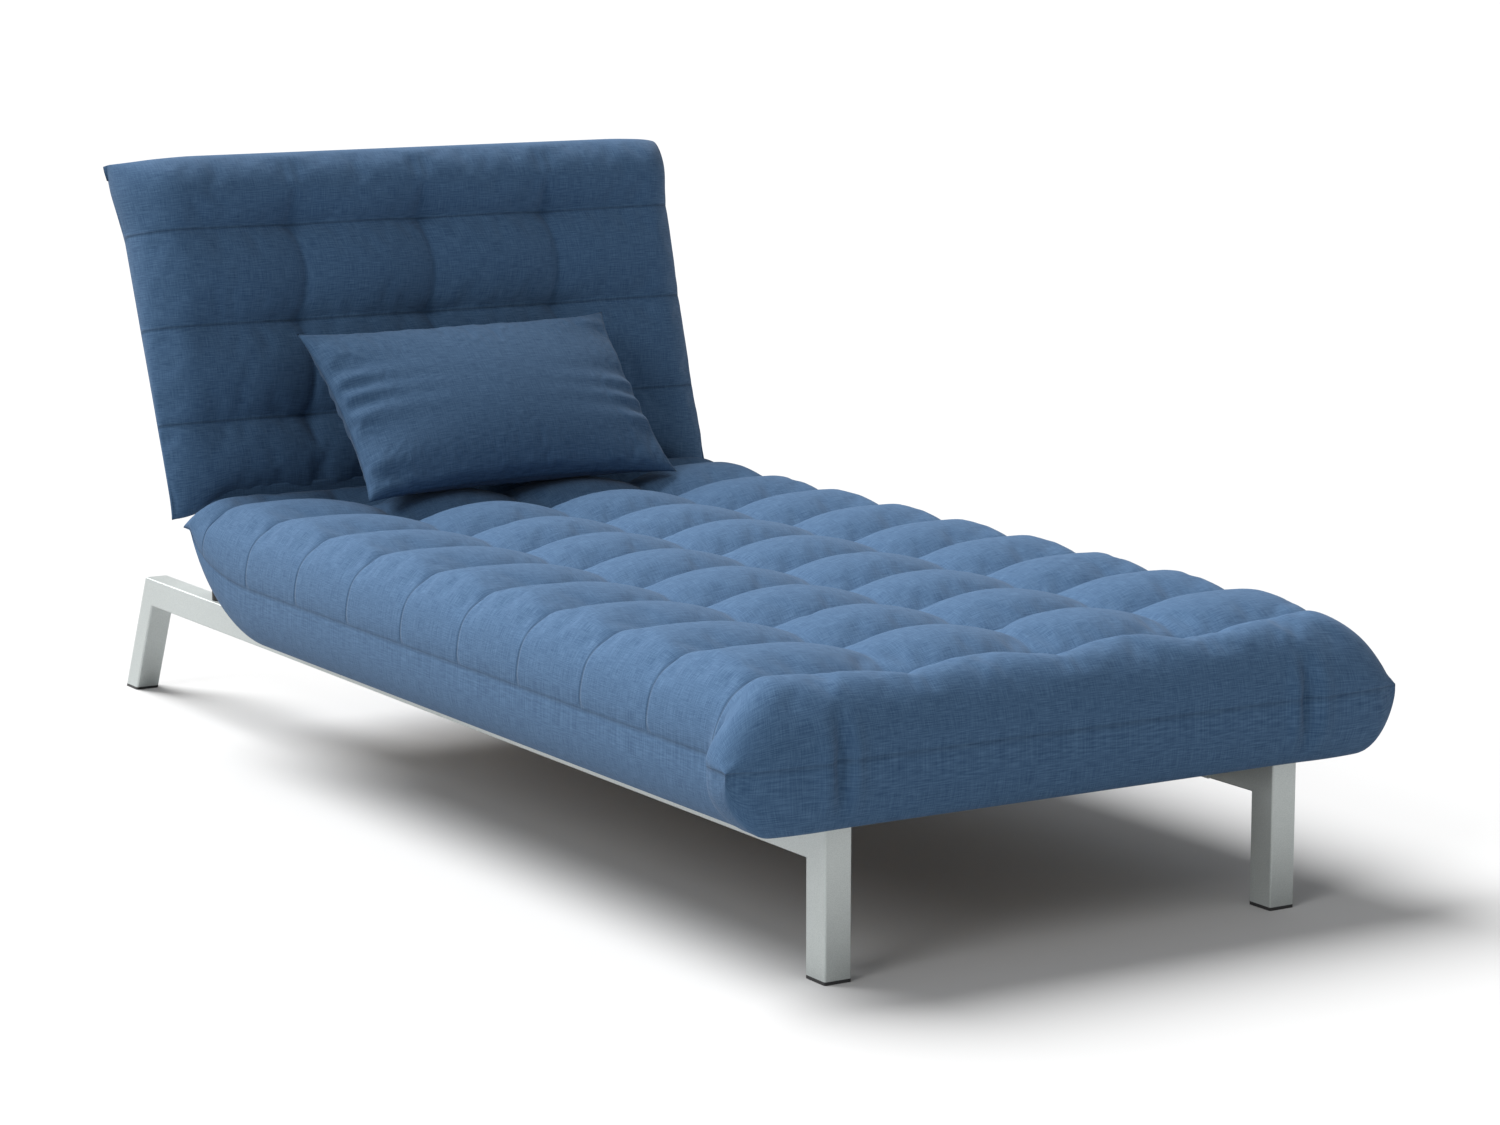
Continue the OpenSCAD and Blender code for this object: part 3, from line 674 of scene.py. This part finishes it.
def stitch_weights(bm, layers, rows, sides):
    """How firmly each vertex is held: seam and tufts fully, channels and valleys less."""
    weights = []
    for vert in bm.verts:
        row, column = rows.at(vert[layers[1]]), vert[layers[0]] / COLUMN_PITCH
        weight = sides * (1 - smooth((vert.normal.z - 0.1) / 0.6))
        if vert.is_boundary or rows.stitched(row) and on_column(column):
            weight = 1.0
        elif rows.stitched(row):
            weight = max(weight, CHANNEL_HOLD)
        elif on_column(column) and 0 < row < rows.count - 1:
            weight = max(weight, VALLEY_HOLD)
        weights.append(weight)
    return weights


def sharpen(bm, layers, rows, row_sharp, column_sharp):
    """Marks the edges that stay crisp when the panel is subdivided."""
    crease = sharpen_rim(bm)
    for edge in bm.edges:
        if edge.is_boundary:
            continue
        places = [rows.at(v[layers[1]]) for v in edge.verts]
        columns = [v[layers[0]] / COLUMN_PITCH for v in edge.verts]
        if all(rows.stitched(row) for row in places):
            edge[crease] = row_sharp
        elif all(map(on_column, columns)) and all(-0.3 < r < rows.count - 0.7 for r in places):
            edge[crease] = column_sharp


print("channels hold", CHANNEL_HOLD, "and valleys", VALLEY_HOLD)

# %% Sewing
SEAM_TUCK = 2.0 * MM
# how much painted shade, and bump groove, a seam gets in the cloth
SEAM_STITCH_SHADE = 0.8
SEWING_REACH = 0.2 * MM


def rim_key(vert, layers, cut):
    return (
        round((vert[layers[0]] - cut.corner[0]) / cut.step[0]),
        round((vert[layers[1]] - cut.corner[1]) / cut.step[1]),
    )


def sewn_together(name, top, bottom, material):
    """Joins two panels along their rims into one closed pad."""
    bm = bmesh.new()
    bm.from_mesh(top.data)
    upper = len(bm.faces)
    bm.from_mesh(bottom.data)
    bmesh.ops.remove_doubles(bm, verts=bm.verts, dist=SEWING_REACH)
    bmesh.ops.recalc_face_normals(bm, faces=bm.faces)
    for piece in (top, bottom):
        bpy.data.objects.remove(piece)
    print(name, "has", len(bm.verts), "vertices,", upper, "faces in its quilted panel, and",
          sum(edge.is_boundary for edge in bm.edges), "open edges")
    pad = object_from(bm, name, material)
    finer = pad.modifiers.new("finer", "SUBSURF")
    finer.levels = finer.render_levels = 1
    return apply_modifiers(pad)


def sewn_pad(name, cut, places, rows, cloth):
    """A quilted pad: places are the shapes of its quilted panel and its plain one."""
    bm, *layers = panel(cut, places[0])
    quilted(bm, layers, rows, cloth)
    bm.normal_update()
    weights = stitch_weights(bm, layers, rows, cloth["sides"])
    sharpen(bm, layers, rows, cloth["row_sharp"], cloth["column_sharp"])
    snug = [1 - smooth((v.normal.z - 0.45) / 0.4) for v in bm.verts]
    stitch_shade = bm.verts.layers.float["stitch_shade"]
    for vert in bm.verts:
        if vert.is_boundary:
            vert.co -= vert.normal * SEAM_TUCK
            vert[stitch_shade] = SEAM_STITCH_SHADE
    rim = {rim_key(v, layers, cut): v.co.copy() for v in bm.verts if v.is_boundary}
    top = object_from(bm, name + "_face", blue_cloth)
    inflate(top, weights, snug, cloth["pressure"], cloth["spare"], cloth["cap"])
    bm, *layers = panel(cut, places[1])
    stitch_shade = bm.verts.layers.float["stitch_shade"]
    for vert in bm.verts:
        if vert.is_boundary:
            vert.co = rim[rim_key(vert, layers, cut)]
            vert[stitch_shade] = SEAM_STITCH_SHADE
    sharpen_rim(bm)
    bmesh.ops.reverse_faces(bm, faces=bm.faces)
    bottom = object_from(bm, name + "_back", blue_cloth)
    return sewn_together(name, top, bottom, blue_cloth)


print("seams are tucked in", round(SEAM_TUCK / MM), "mm")

# %% [markdown]
# ### The seat pad
#
# The seat is the long pad under the sleeper: ten rows of three tufts. Its panels meet at a seam
# half way up the sides. Cloth sewn round a slab stands out at the corners and makes full lobes
# there, with a pleat on either side, while the long sides pull in. The nose rolls down from the
# first row of tufts and droops a little past the rails. At the head end the two rear corners are
# drawn up and in, towards the crease.

# %% Seat pad sizes
SEAT_LOW, SEAT_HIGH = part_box("seat_pad_cover")
SEAT_HALF_W = 430 * MM
NOSE_Y = SEAT_LOW.y
SEAT_END_Y = SEAT_HIGH.y
MIDDLE_Y = (NOSE_Y + SEAT_END_Y) / 2
SEAT_BOTTOM_Z = SEAT_LOW.z
SEAT_TOP_Z = SEAT_HIGH.z
SEAM_Z = SEAT_BOTTOM_Z + 80 * MM
TOP_HEIGHT = SEAT_TOP_Z - SEAM_Z

ROW_PITCH = 152 * MM
ROW_CELLS = 16
STEP_Y = ROW_PITCH / ROW_CELLS
FIRST_ROW_Y = NOSE_Y + 88 * MM
SEAT_ROWS = Rows(FIRST_ROW_Y, ROW_PITCH, 10)
LAST_ROW_Y = FIRST_ROW_Y + (SEAT_ROWS.count - 1) * ROW_PITCH

NOSE_RADIUS = 86 * MM
SEAT_END_RADIUS = 62 * MM
SHOULDER_RADIUS = 62 * MM
UNDER_RADIUS = 30 * MM
SIDE_FULLNESS = 0.92
NOSE_FULLNESS = 0.95
UNDER_FULLNESS = 0.7

HALF_COLUMNS = steps_in(
    SEAT_HALF_W - SHOULDER_RADIUS + arc_length(SHOULDER_RADIUS, TOP_HEIGHT), STEP_X
)
NOSE_STEPS = steps_in(
    FIRST_ROW_Y - NOSE_Y - NOSE_RADIUS + arc_length(NOSE_RADIUS, TOP_HEIGHT), STEP_Y
)
END_STEPS = steps_in(
    SEAT_END_Y - SEAT_END_RADIUS - LAST_ROW_Y + arc_length(SEAT_END_RADIUS, TOP_HEIGHT), STEP_Y
)
SEAT_STEPS = NOSE_STEPS + ROW_CELLS * (SEAT_ROWS.count - 1) + END_STEPS
V_START = FIRST_ROW_Y - NOSE_STEPS * STEP_Y
V_END = V_START + SEAT_STEPS * STEP_Y
SEAT_CUT = Cut((2 * HALF_COLUMNS, SEAT_STEPS), (STEP_X, STEP_Y), (-HALF_COLUMNS * STEP_X, V_START))


def seat_edge(u, v, side_radius, nose_radius, end_radius):
    """Level x and y of a place on the cloth, and its share of the panel's height."""
    out, high_x = rolled(
        abs(u), SEAT_HALF_W - side_radius, HALF_COLUMNS * STEP_X, side_radius, SIDE_FULLNESS
    )
    if v < MIDDLE_Y:
        along, high_y = rolled(
            MIDDLE_Y - v, MIDDLE_Y - NOSE_Y - nose_radius, MIDDLE_Y - V_START, nose_radius,
            NOSE_FULLNESS,
        )
        y = MIDDLE_Y - along
    else:
        along, high_y = rolled(
            v - MIDDLE_Y, SEAT_END_Y - end_radius - MIDDLE_Y, V_END - MIDDLE_Y, end_radius
        )
        y = MIDDLE_Y + along
    return math.copysign(out, u), y, high_x * high_y


print("seat panel:", 2 * HALF_COLUMNS, "by", SEAT_STEPS, "cells")

# %% Seat pad corners
LOBE_FROM_X = 330 * MM
LOBE_FADE_X = 80 * MM
LOBE_FROM_Y = NOSE_Y + 92 * MM
LOBE_FADE_Y = 60 * MM
LOBE_OUT = 33 * MM
LOBE_BACK = 14 * MM
LOBE_BULGE = 12 * MM
BULGE_AT = 390 * MM
BULGE_WIDTH = 48 * MM

# pleats: how deep and wide they are, and the grid lines that they lie on
PLEAT_DEPTH = 14 * MM
PLEAT_WIDTH = 8 * MM
PLEAT_U = 35 * STEP_X
PLEAT_V = FIRST_ROW_Y - 2 * STEP_Y
PLEAT_TOP = 0.66
PLEAT_GROWTH = 0.55
SIDE_PLEAT_FROM = 385 * MM
SIDE_PLEAT_FADE = 35 * MM
FRONT_PLEAT_FROM = NOSE_Y + 60 * MM
FRONT_PLEAT_FADE = 45 * MM

# corners of the top: where the sides start to count, and over how far
CORNER_FROM_X = 300 * MM
CORNER_FADE_X = 130 * MM
CORNER_PINCH = 0.45
REAR_CORNER_RUN = 150 * MM
REAR_CORNER_TUCK = 44 * MM
REAR_CORNER_IN = 3 * MM


def seat_corners(u, v, x, y, high):
    """Fills the foot-end lobes and presses a pleat beside each; draws the rear corners in."""
    low = 1.0 - high * high
    to_nose = smooth((LOBE_FROM_Y - y) / LOBE_FADE_Y)
    lobe = smooth((abs(x) - LOBE_FROM_X) / LOBE_FADE_X) * to_nose
    bulge = LOBE_BULGE * bell((abs(u) - BULGE_AT) / BULGE_WIDTH) * to_nose
    pleat = PLEAT_DEPTH * smooth((PLEAT_TOP - high) / PLEAT_GROWTH)
    side = smooth((abs(x) - SIDE_PLEAT_FROM) / SIDE_PLEAT_FADE)
    side *= fold((v - PLEAT_V) / PLEAT_WIDTH)
    front = smooth((FRONT_PLEAT_FROM - y) / FRONT_PLEAT_FADE)
    front *= fold((abs(u) - PLEAT_U) / PLEAT_WIDTH)
    rear = smooth((abs(x) - CORNER_FROM_X) / CORNER_FADE_X)
    rear *= smooth((y - SEAT_END_Y + REAR_CORNER_RUN) / REAR_CORNER_RUN)
    outward = math.copysign(1.0, x)
    x += outward * (LOBE_OUT * lobe * low - pleat * side - REAR_CORNER_IN * rear)
    y += LOBE_BACK * lobe * low - bulge * low + pleat * front - REAR_CORNER_TUCK * rear
    return x, y


print("lobes stand out", round(LOBE_OUT / MM), "mm")

# %% Seat pad underside
REAR_RISE_FROM = SEAT_END_Y - 264 * MM
REAR_RISE_RUN = 200 * MM
REAR_RISE_STEEPEST = 0.985
REAR_RISE_FROM_X = 290 * MM
REAR_RISE_FADE_X = 110 * MM
REAR_SEAM_RISE = 66 * MM
REAR_FLOOR_RISE = 172 * MM
SLAT_CLEARANCE = 1 * MM
THINNEST_EDGE = 3 * MM
NOSE_DROOP = 10 * MM
NOSE_DROOP_FROM = NOSE_Y + 26 * MM
NOSE_DROOP_FADE = 18 * MM


def rear_lift(x, y):
    """How far the rear corners of the underside are drawn up."""
    share = min(REAR_RISE_STEEPEST, max(0.0, (y - REAR_RISE_FROM) / REAR_RISE_RUN))
    to_side = smooth((abs(x) - REAR_RISE_FROM_X) / REAR_RISE_FADE_X)
    return to_side * (1.0 - math.sqrt(1.0 - share * share))


def seat_seam_z(x, y):
    return SEAM_Z + REAR_SEAM_RISE * rear_lift(x, y)


def seat_top(u, v):
    x, y, high = seat_edge(
        u + SEAT_ROWS.bow(u, v), v, SHOULDER_RADIUS, NOSE_RADIUS, SEAT_END_RADIUS
    )
    pinch = smooth((abs(x) - CORNER_FROM_X) / CORNER_FADE_X)
    pinch *= smooth((LOBE_FROM_Y - y) / LOBE_FADE_Y)
    high = high ** (1 + CORNER_PINCH * pinch)
    x, y = seat_corners(u, v, x, y, high)
    seam = seat_seam_z(x, y)
    return Vector((x, y, seam + (SEAT_TOP_Z - seam) * high))


def seat_bottom(u, v):
    x, y, high = seat_edge(u, v, UNDER_RADIUS, UNDER_RADIUS, SEAT_END_RADIUS)
    x, y = seat_corners(u, v, x, y, high)
    seam = seat_seam_z(x, y)
    floor_z = SEAT_BOTTOM_Z + SLAT_CLEARANCE + REAR_FLOOR_RISE * rear_lift(x, y)
    floor_z -= NOSE_DROOP * smooth((NOSE_DROOP_FROM - y) / NOSE_DROOP_FADE)
    floor_z = min(floor_z, seam - THINNEST_EDGE)
    return Vector((x, y, seam - (seam - floor_z) * high ** UNDER_FULLNESS))


print("the nose droops", round(NOSE_DROOP / MM), "mm")

# %% [markdown]
# What a pad's cloth is told: depth is the tufts' depth. channel and valley are how deep those two
# stay midway between tufts, as a share, and their round is how plump the cloth is beside them.
# low_share is how much of it all is left on the pad's sides, and sides is how firmly those hold.
# row_sharp and column_sharp keep lines crisp. pressure, spare and cap go to the simulation.

# %% Sew the seat pad
SEAT_CLOTH = {
    "depth": 32 * MM, "low_share": 0.05, "channel": 0.60, "channel_round": 0.62,
    "valley": 0.56, "valley_round": 0.9, "sides": 0.9, "row_sharp": 0.75,
    "column_sharp": 0.1, "pressure": 3.5, "spare": 0.022, "cap": 9 * MM,
}
seat_pad = sewn_pad("seat_pad", SEAT_CUT, (seat_top, seat_bottom), SEAT_ROWS, SEAT_CLOTH)
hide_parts("seat_pad_cover", "seat_pad_filling")
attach(seat_pad, "base")

# %% [markdown]
# ### The back pad
#
# The back pad is a wedge: thin at the crease, deep at the top. It is made lying down, with X
# across, Y up the backrest from the pivot and Z to the front, and stood up at the end. Its front
# panel rolls over the top and down behind it to the seam, and its rear panel slopes in from the
# side seams to the slats, so that it stays out of sight from the front.

# %% Back pad sizes
RECLINE = next(joint for joint in frame["joints"] if joint["name"] == "back_recline")
PIVOT = Vector(RECLINE["pos_m"])
BACK_LEAN = math.radians(10)
STAND_UP = Matrix.Translation(PIVOT) @ Matrix.Rotation(math.pi / 2 - BACK_LEAN, 4, "X")
BACK_HALF_W = 430 * MM
BACK_FACE = 22 * MM
BACK_REAR = -107 * MM
BACK_PITCH = 134 * MM
BACK_CELLS = 14
BACK_STEP = BACK_PITCH / BACK_CELLS
BACK_FIRST_ROW = 117 * MM
BACK_ROWS = Rows(BACK_FIRST_ROW, BACK_PITCH, 3)
BACK_SIDE_RADIUS = 60 * MM
BACK_SIDE_RUN = 96 * MM
TOP_ROLL_FROM = 428 * MM
TOP_ROLL_OUT = 62 * MM
TOP_ROLL_FRONT = 49 * MM
TOP_ROLL_BEHIND = 76 * MM
TOP_ROLL_TURN = math.radians(140)
TOP_ROLL_RUN = 150 * MM
BACK_FOOT = 4 * MM
BACK_FOOT_RADIUS = 26 * MM
BACK_COLUMNS = steps_in(BACK_HALF_W - BACK_SIDE_RADIUS + BACK_SIDE_RUN, STEP_X)
BACK_LOW_STEPS = steps_in(BACK_FIRST_ROW - BACK_FOOT, BACK_STEP)
BACK_HIGH_STEPS = steps_in(
    TOP_ROLL_FROM - BACK_FIRST_ROW - (BACK_ROWS.count - 1) * BACK_PITCH + TOP_ROLL_RUN, BACK_STEP
)
BACK_STEPS = BACK_LOW_STEPS + BACK_CELLS * (BACK_ROWS.count - 1) + BACK_HIGH_STEPS
BACK_START = BACK_FIRST_ROW - BACK_LOW_STEPS * BACK_STEP
BACK_END = BACK_START + BACK_STEPS * BACK_STEP
BACK_CUT = Cut(
    (2 * BACK_COLUMNS, BACK_STEPS), (STEP_X, BACK_STEP), (-BACK_COLUMNS * STEP_X, BACK_START)
)
print("back panel:", 2 * BACK_COLUMNS, "by", BACK_STEPS, "cells")

# %% Back pad profile
BACK_SEAM_AHEAD = 13
BACK_SEAM_SLOPE = 0.205


def back_seam_z(y):
    """The side seam slopes from just ahead of the pivot to well behind it at the top."""
    return (BACK_SEAM_AHEAD - BACK_SEAM_SLOPE * y / MM) * MM


def back_profile(v):
    """Height up the backrest, and the front panel's level there, down the pad's middle."""
    if v > TOP_ROLL_FROM:
        turn = TOP_ROLL_TURN * (v - TOP_ROLL_FROM) / (BACK_END - TOP_ROLL_FROM)
        deep = TOP_ROLL_FRONT if turn < math.pi / 2 else TOP_ROLL_BEHIND
        y = TOP_ROLL_FROM + TOP_ROLL_OUT * math.sin(turn)
        return y, BACK_FACE - TOP_ROLL_FRONT + deep * math.cos(turn)
    start = BACK_FOOT + BACK_FOOT_RADIUS
    if v > start:
        return v, BACK_FACE
    turn = (start - v) / (start - BACK_START) * math.pi / 2
    y = start - BACK_FOOT_RADIUS * math.sin(turn)
    seam = back_seam_z(BACK_FOOT)
    return y, seam + (BACK_FACE - seam) * math.cos(turn)


print("back seam slopes from", [round(back_seam_z(y * MM) / MM) for y in (40, 460)], "mm")

# %% Back pad corners
EAR_FROM_X = 330 * MM
EAR_FADE_X = 90 * MM
EAR_FROM_Y = 380 * MM
EAR_FADE_Y = 80 * MM
EAR_OUT = 9 * MM
EAR_DROP = 3 * MM
EAR_TIP_FROM_X = 385 * MM
EAR_TIP_FADE_X = 45 * MM
BACK_CORNER_DROP = 18 * MM
BACK_CORNER_UNDER = 80 * MM
BACK_CORNER_FADE = 70 * MM
SLOPE_IN_SIDE = 88 * MM
SLOPE_IN_TOP = 34 * MM
SLOPE_IN_FOOT = 20 * MM


def back_ear(x, y, high):
    """The two top corners stand out a little at the seam, and the two lower ones hang down."""
    side = smooth((abs(x) - EAR_FROM_X) / EAR_FADE_X)
    near = side * smooth((y - EAR_FROM_Y) / EAR_FADE_Y)
    tip = smooth((abs(x) - EAR_TIP_FROM_X) / EAR_TIP_FADE_X)
    low = 1.0 - high * high
    y -= BACK_CORNER_DROP * side * smooth((BACK_CORNER_UNDER - y) / BACK_CORNER_FADE)
    y -= EAR_DROP * near * (1.0 - low) + EAR_DROP * tip * near
    return x + math.copysign(EAR_OUT * near * low, x), y


def back_front(u, v):
    bowed = u + BACK_ROWS.bow(u, v)
    out, high = rolled(
        abs(bowed), BACK_HALF_W - BACK_SIDE_RADIUS, BACK_COLUMNS * STEP_X, BACK_SIDE_RADIUS
    )
    y, level = back_profile(v)
    x, y = back_ear(math.copysign(out, bowed), y, high)
    seam = back_seam_z(y)
    return Vector((x, y, seam + (level - seam) * high))


def back_behind(u, v):
    share = abs(u) / (BACK_COLUMNS * STEP_X)
    x = math.copysign(BACK_HALF_W * share, u)
    along = (v - BACK_START) / (BACK_END - BACK_START)
    top_y = back_profile(BACK_END)[0]
    y = BACK_FOOT + (top_y - BACK_FOOT) * along
    inwards = min(
        (BACK_HALF_W - abs(x)) / SLOPE_IN_SIDE,
        (top_y - y) / SLOPE_IN_TOP,
        (y - BACK_FOOT) / SLOPE_IN_FOOT,
    )
    seam = back_seam_z(y)
    return Vector((x, y, seam + (BACK_REAR - seam) * math.sin(min(1.0, inwards) * math.pi / 2)))


print("back corners hang", round(BACK_CORNER_DROP / MM), "mm")

# %% Sew the back pad
BACK_CLOTH = {
    "depth": 28 * MM, "low_share": 0.14, "channel": 0.42, "channel_round": 0.5,
    "valley": 0.5, "valley_round": 0.62, "sides": 0.8, "row_sharp": 0.8,
    "column_sharp": 0.4, "pressure": 3.5, "spare": 0.022, "cap": 9 * MM,
}
back_pad = sewn_pad("back_pad", BACK_CUT, (back_front, back_behind), BACK_ROWS, BACK_CLOTH)
back_pad.data.transform(STAND_UP)
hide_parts("back_pad_cover", "back_pad_filling")
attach(back_pad, "backrest")

# %% [markdown]
# ### The crease
#
# Where seat and back meet, a strip of the same cloth joins the two covers, folded down into the
# crease, so that little shows between the pads when the back goes down. It is the one piece
# that crosses the hinge: its front edge stays with the seat, its rear edge goes with the back,
# and the fold between them opens as the back reclines.

# %% Crease strip
CREASE_HALF_W = 372 * MM
CREASE_THICKNESS = 1.5 * MM
CREASE_FOLD = [
    # millimetres behind and above the pivot, from inside the seat pad to inside the back pad
    (-44, 14), (-32, 10), (-25, 5), (-21, 0), (-18, 4), (-16, 13), (-15, 27),
]
CREASE_CELLS = 80
CREASE_STEPS = 4
CREASE_ROUNDING = 0.35


def crease_place(u, v):
    """The fold's own points, rounded between them; v counts points along the fold."""
    index = min(len(CREASE_FOLD) - 2, int(v))
    t = smooth(v - index) * CREASE_ROUNDING + (v - index) * (1 - CREASE_ROUNDING)
    (y0, z0), (y1, z1) = CREASE_FOLD[index], CREASE_FOLD[index + 1]
    return PIVOT + Vector((u, (y0 + (y1 - y0) * t) * MM, (z0 + (z1 - z0) * t) * MM))


CREASE_CUT = Cut(
    (CREASE_CELLS, CREASE_STEPS * (len(CREASE_FOLD) - 1)),
    (2 * CREASE_HALF_W / CREASE_CELLS, 1 / CREASE_STEPS),
    (-CREASE_HALF_W, 0.0),
)
bm = panel(CREASE_CUT, crease_place)[0]
uv = bm.loops.layers.uv["cloth"]
for face in bm.faces:
    for loop in face.loops:
        # v counts points here, so the weave takes its second distance from the fold itself
        loop[uv].uv.y = loop.vert.co.y - loop.vert.co.z
bmesh.ops.recalc_face_normals(bm, faces=bm.faces)
crease_strip = object_from(bm, "crease_strip", blue_cloth)
crease_strip.modifiers.new("cloth_thickness", "SOLIDIFY").thickness = CREASE_THICKNESS
apply_modifiers(crease_strip)
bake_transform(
    crease_strip, "base", "backrest",
    start=PIVOT + Vector((0, -32 * MM, 0)), end=PIVOT + Vector((0, -15 * MM, 0)),
)
print("crease strip is", round(2 * CREASE_HALF_W / MM), "mm wide")

# %% [markdown]
# ### The pillow
#
# The pillow is the plainest cushion there is: two oblongs of cloth sewn round their edges to a
# knife edge, then filled. Filling draws the sides in between the corners, and the cloth gathers
# along the short seams. It is made flat, simulated, and leaned against the back pad.

# %% Pillow sizes
PILLOW_LOW, PILLOW_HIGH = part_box("pillow_cover")
PILLOW_AT = (PILLOW_LOW + PILLOW_HIGH) / 2
PILLOW_W = 490 * MM
PILLOW_H = 278 * MM
PILLOW_T = 104 * MM
PILLOW_LEAN = math.radians(47)
PILLOW_TURN = math.radians(3)
PILLOW_STEP = 5 * MM
PILLOW_CELLS = (steps_in(PILLOW_W, PILLOW_STEP), steps_in(PILLOW_H, PILLOW_STEP))
PILLOW_CUT = Cut(
    PILLOW_CELLS,
    (PILLOW_W / PILLOW_CELLS[0], PILLOW_H / PILLOW_CELLS[1]),
    (-PILLOW_W / 2, -PILLOW_H / 2),
)
print("pillow at", [round(v, 3) for v in PILLOW_AT])

# %% Pillow shape
SIDE_PULL = 11 * MM
CORNER_POINT = 5 * MM
PILLOW_PLUMP = 0.42
PILLOW_CROWN = 0.12
GATHER_DEPTH = 4.6
GATHER_REACH = 46 * MM
HEM_DEPTH = 1.2
HEM_REACH = 30 * MM


def pillow_outline(across, up):
    """Where a place goes on the flat pillow; across and up run from -1 to 1."""
    corner = (abs(across) * abs(up)) ** 5
    x = across * (PILLOW_W / 2 - SIDE_PULL * (1 - up * up) + CORNER_POINT * corner)
    y = up * (PILLOW_H / 2 - SIDE_PULL * (1 - across * across) + CORNER_POINT * corner)
    return x, y


def gathers(across, up):
    """Waves in the cloth along the short seams, dying out towards the middle."""
    from_end = (1 - abs(across)) * PILLOW_W / 2
    return math.sin(up * 19 + 2.2 * math.sin(up * 5 + across)) * math.exp(-from_end / GATHER_REACH)


def hem_waves(across, up):
    """Fainter waves along the long seams."""
    from_seam = (1 - abs(up)) * PILLOW_H
    return math.sin(across * 26 + 2.0 * math.sin(across * 7)) * math.exp(
        -from_seam / (2 * HEM_REACH)
    )


def pillow_side(sign):
    """The front panel's shape for a sign of 1, the rear panel's for -1."""
    def place(u, v):
        across, up = 2 * u / PILLOW_W, 2 * v / PILLOW_H
        x, y = pillow_outline(across, up)
        rise = max(0.0, (1 - across ** 2) * (1 - up ** 2))
        full = rise ** PILLOW_PLUMP * (1 + PILLOW_CROWN * (1 - abs(across)))
        waves = GATHER_DEPTH * gathers(across, up) + HEM_DEPTH * hem_waves(across, up)
        z = PILLOW_T / 2 * full + waves * MM * min(1.0, rise * 12)
        return Vector((x, y, sign * z))
    return place


print("pillow's sides pull in", round(SIDE_PULL / MM), "mm")

# %% Sew the pillow
# how much painted shade, and bump groove, the pillow's seam gets in the cloth
PILLOW_STITCH_SHADE = 0.85
PILLOW_HOLD = 0.2
PILLOW_PRESSURE = 2.5
PILLOW_SPARE = 0.02
PILLOW_CAP = 8 * MM
SNUG_FROM = 25 * MM
SNUG_RUN = 60 * MM


def from_rim(vert, layers):
    return min(PILLOW_W / 2 - abs(vert[layers[0]]), PILLOW_H / 2 - abs(vert[layers[1]]))


def pillow_panel(name, sign):
    bm, *layers = panel(PILLOW_CUT, pillow_side(sign))
    sharpen_rim(bm)
    if sign < 0:
        bmesh.ops.reverse_faces(bm, faces=bm.faces)
    stitch_shade = bm.verts.layers.float["stitch_shade"]
    for vert in bm.verts:
        vert[stitch_shade] = PILLOW_STITCH_SHADE if vert.is_boundary else 0.0
    weights = [1.0 if v.is_boundary else PILLOW_HOLD for v in bm.verts]
    snug = [smooth((from_rim(v, layers) - SNUG_FROM) / SNUG_RUN) for v in bm.verts]
    piece = object_from(bm, name, pillow_cloth)
    inflate(piece, weights, snug, PILLOW_PRESSURE, PILLOW_SPARE, PILLOW_CAP)
    return piece


pillow = sewn_together(
    "pillow_cushion", pillow_panel("pillow_front", 1), pillow_panel("pillow_rear", -1),
    pillow_cloth,
)
pillow.data.transform(
    Matrix.Translation(PILLOW_AT)
    @ Matrix.Rotation(PILLOW_TURN, 4, "Z")
    @ Matrix.Rotation(PILLOW_LEAN, 4, "X")
)
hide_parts("pillow_cover", "pillow_filling")
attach(pillow, "pillow")
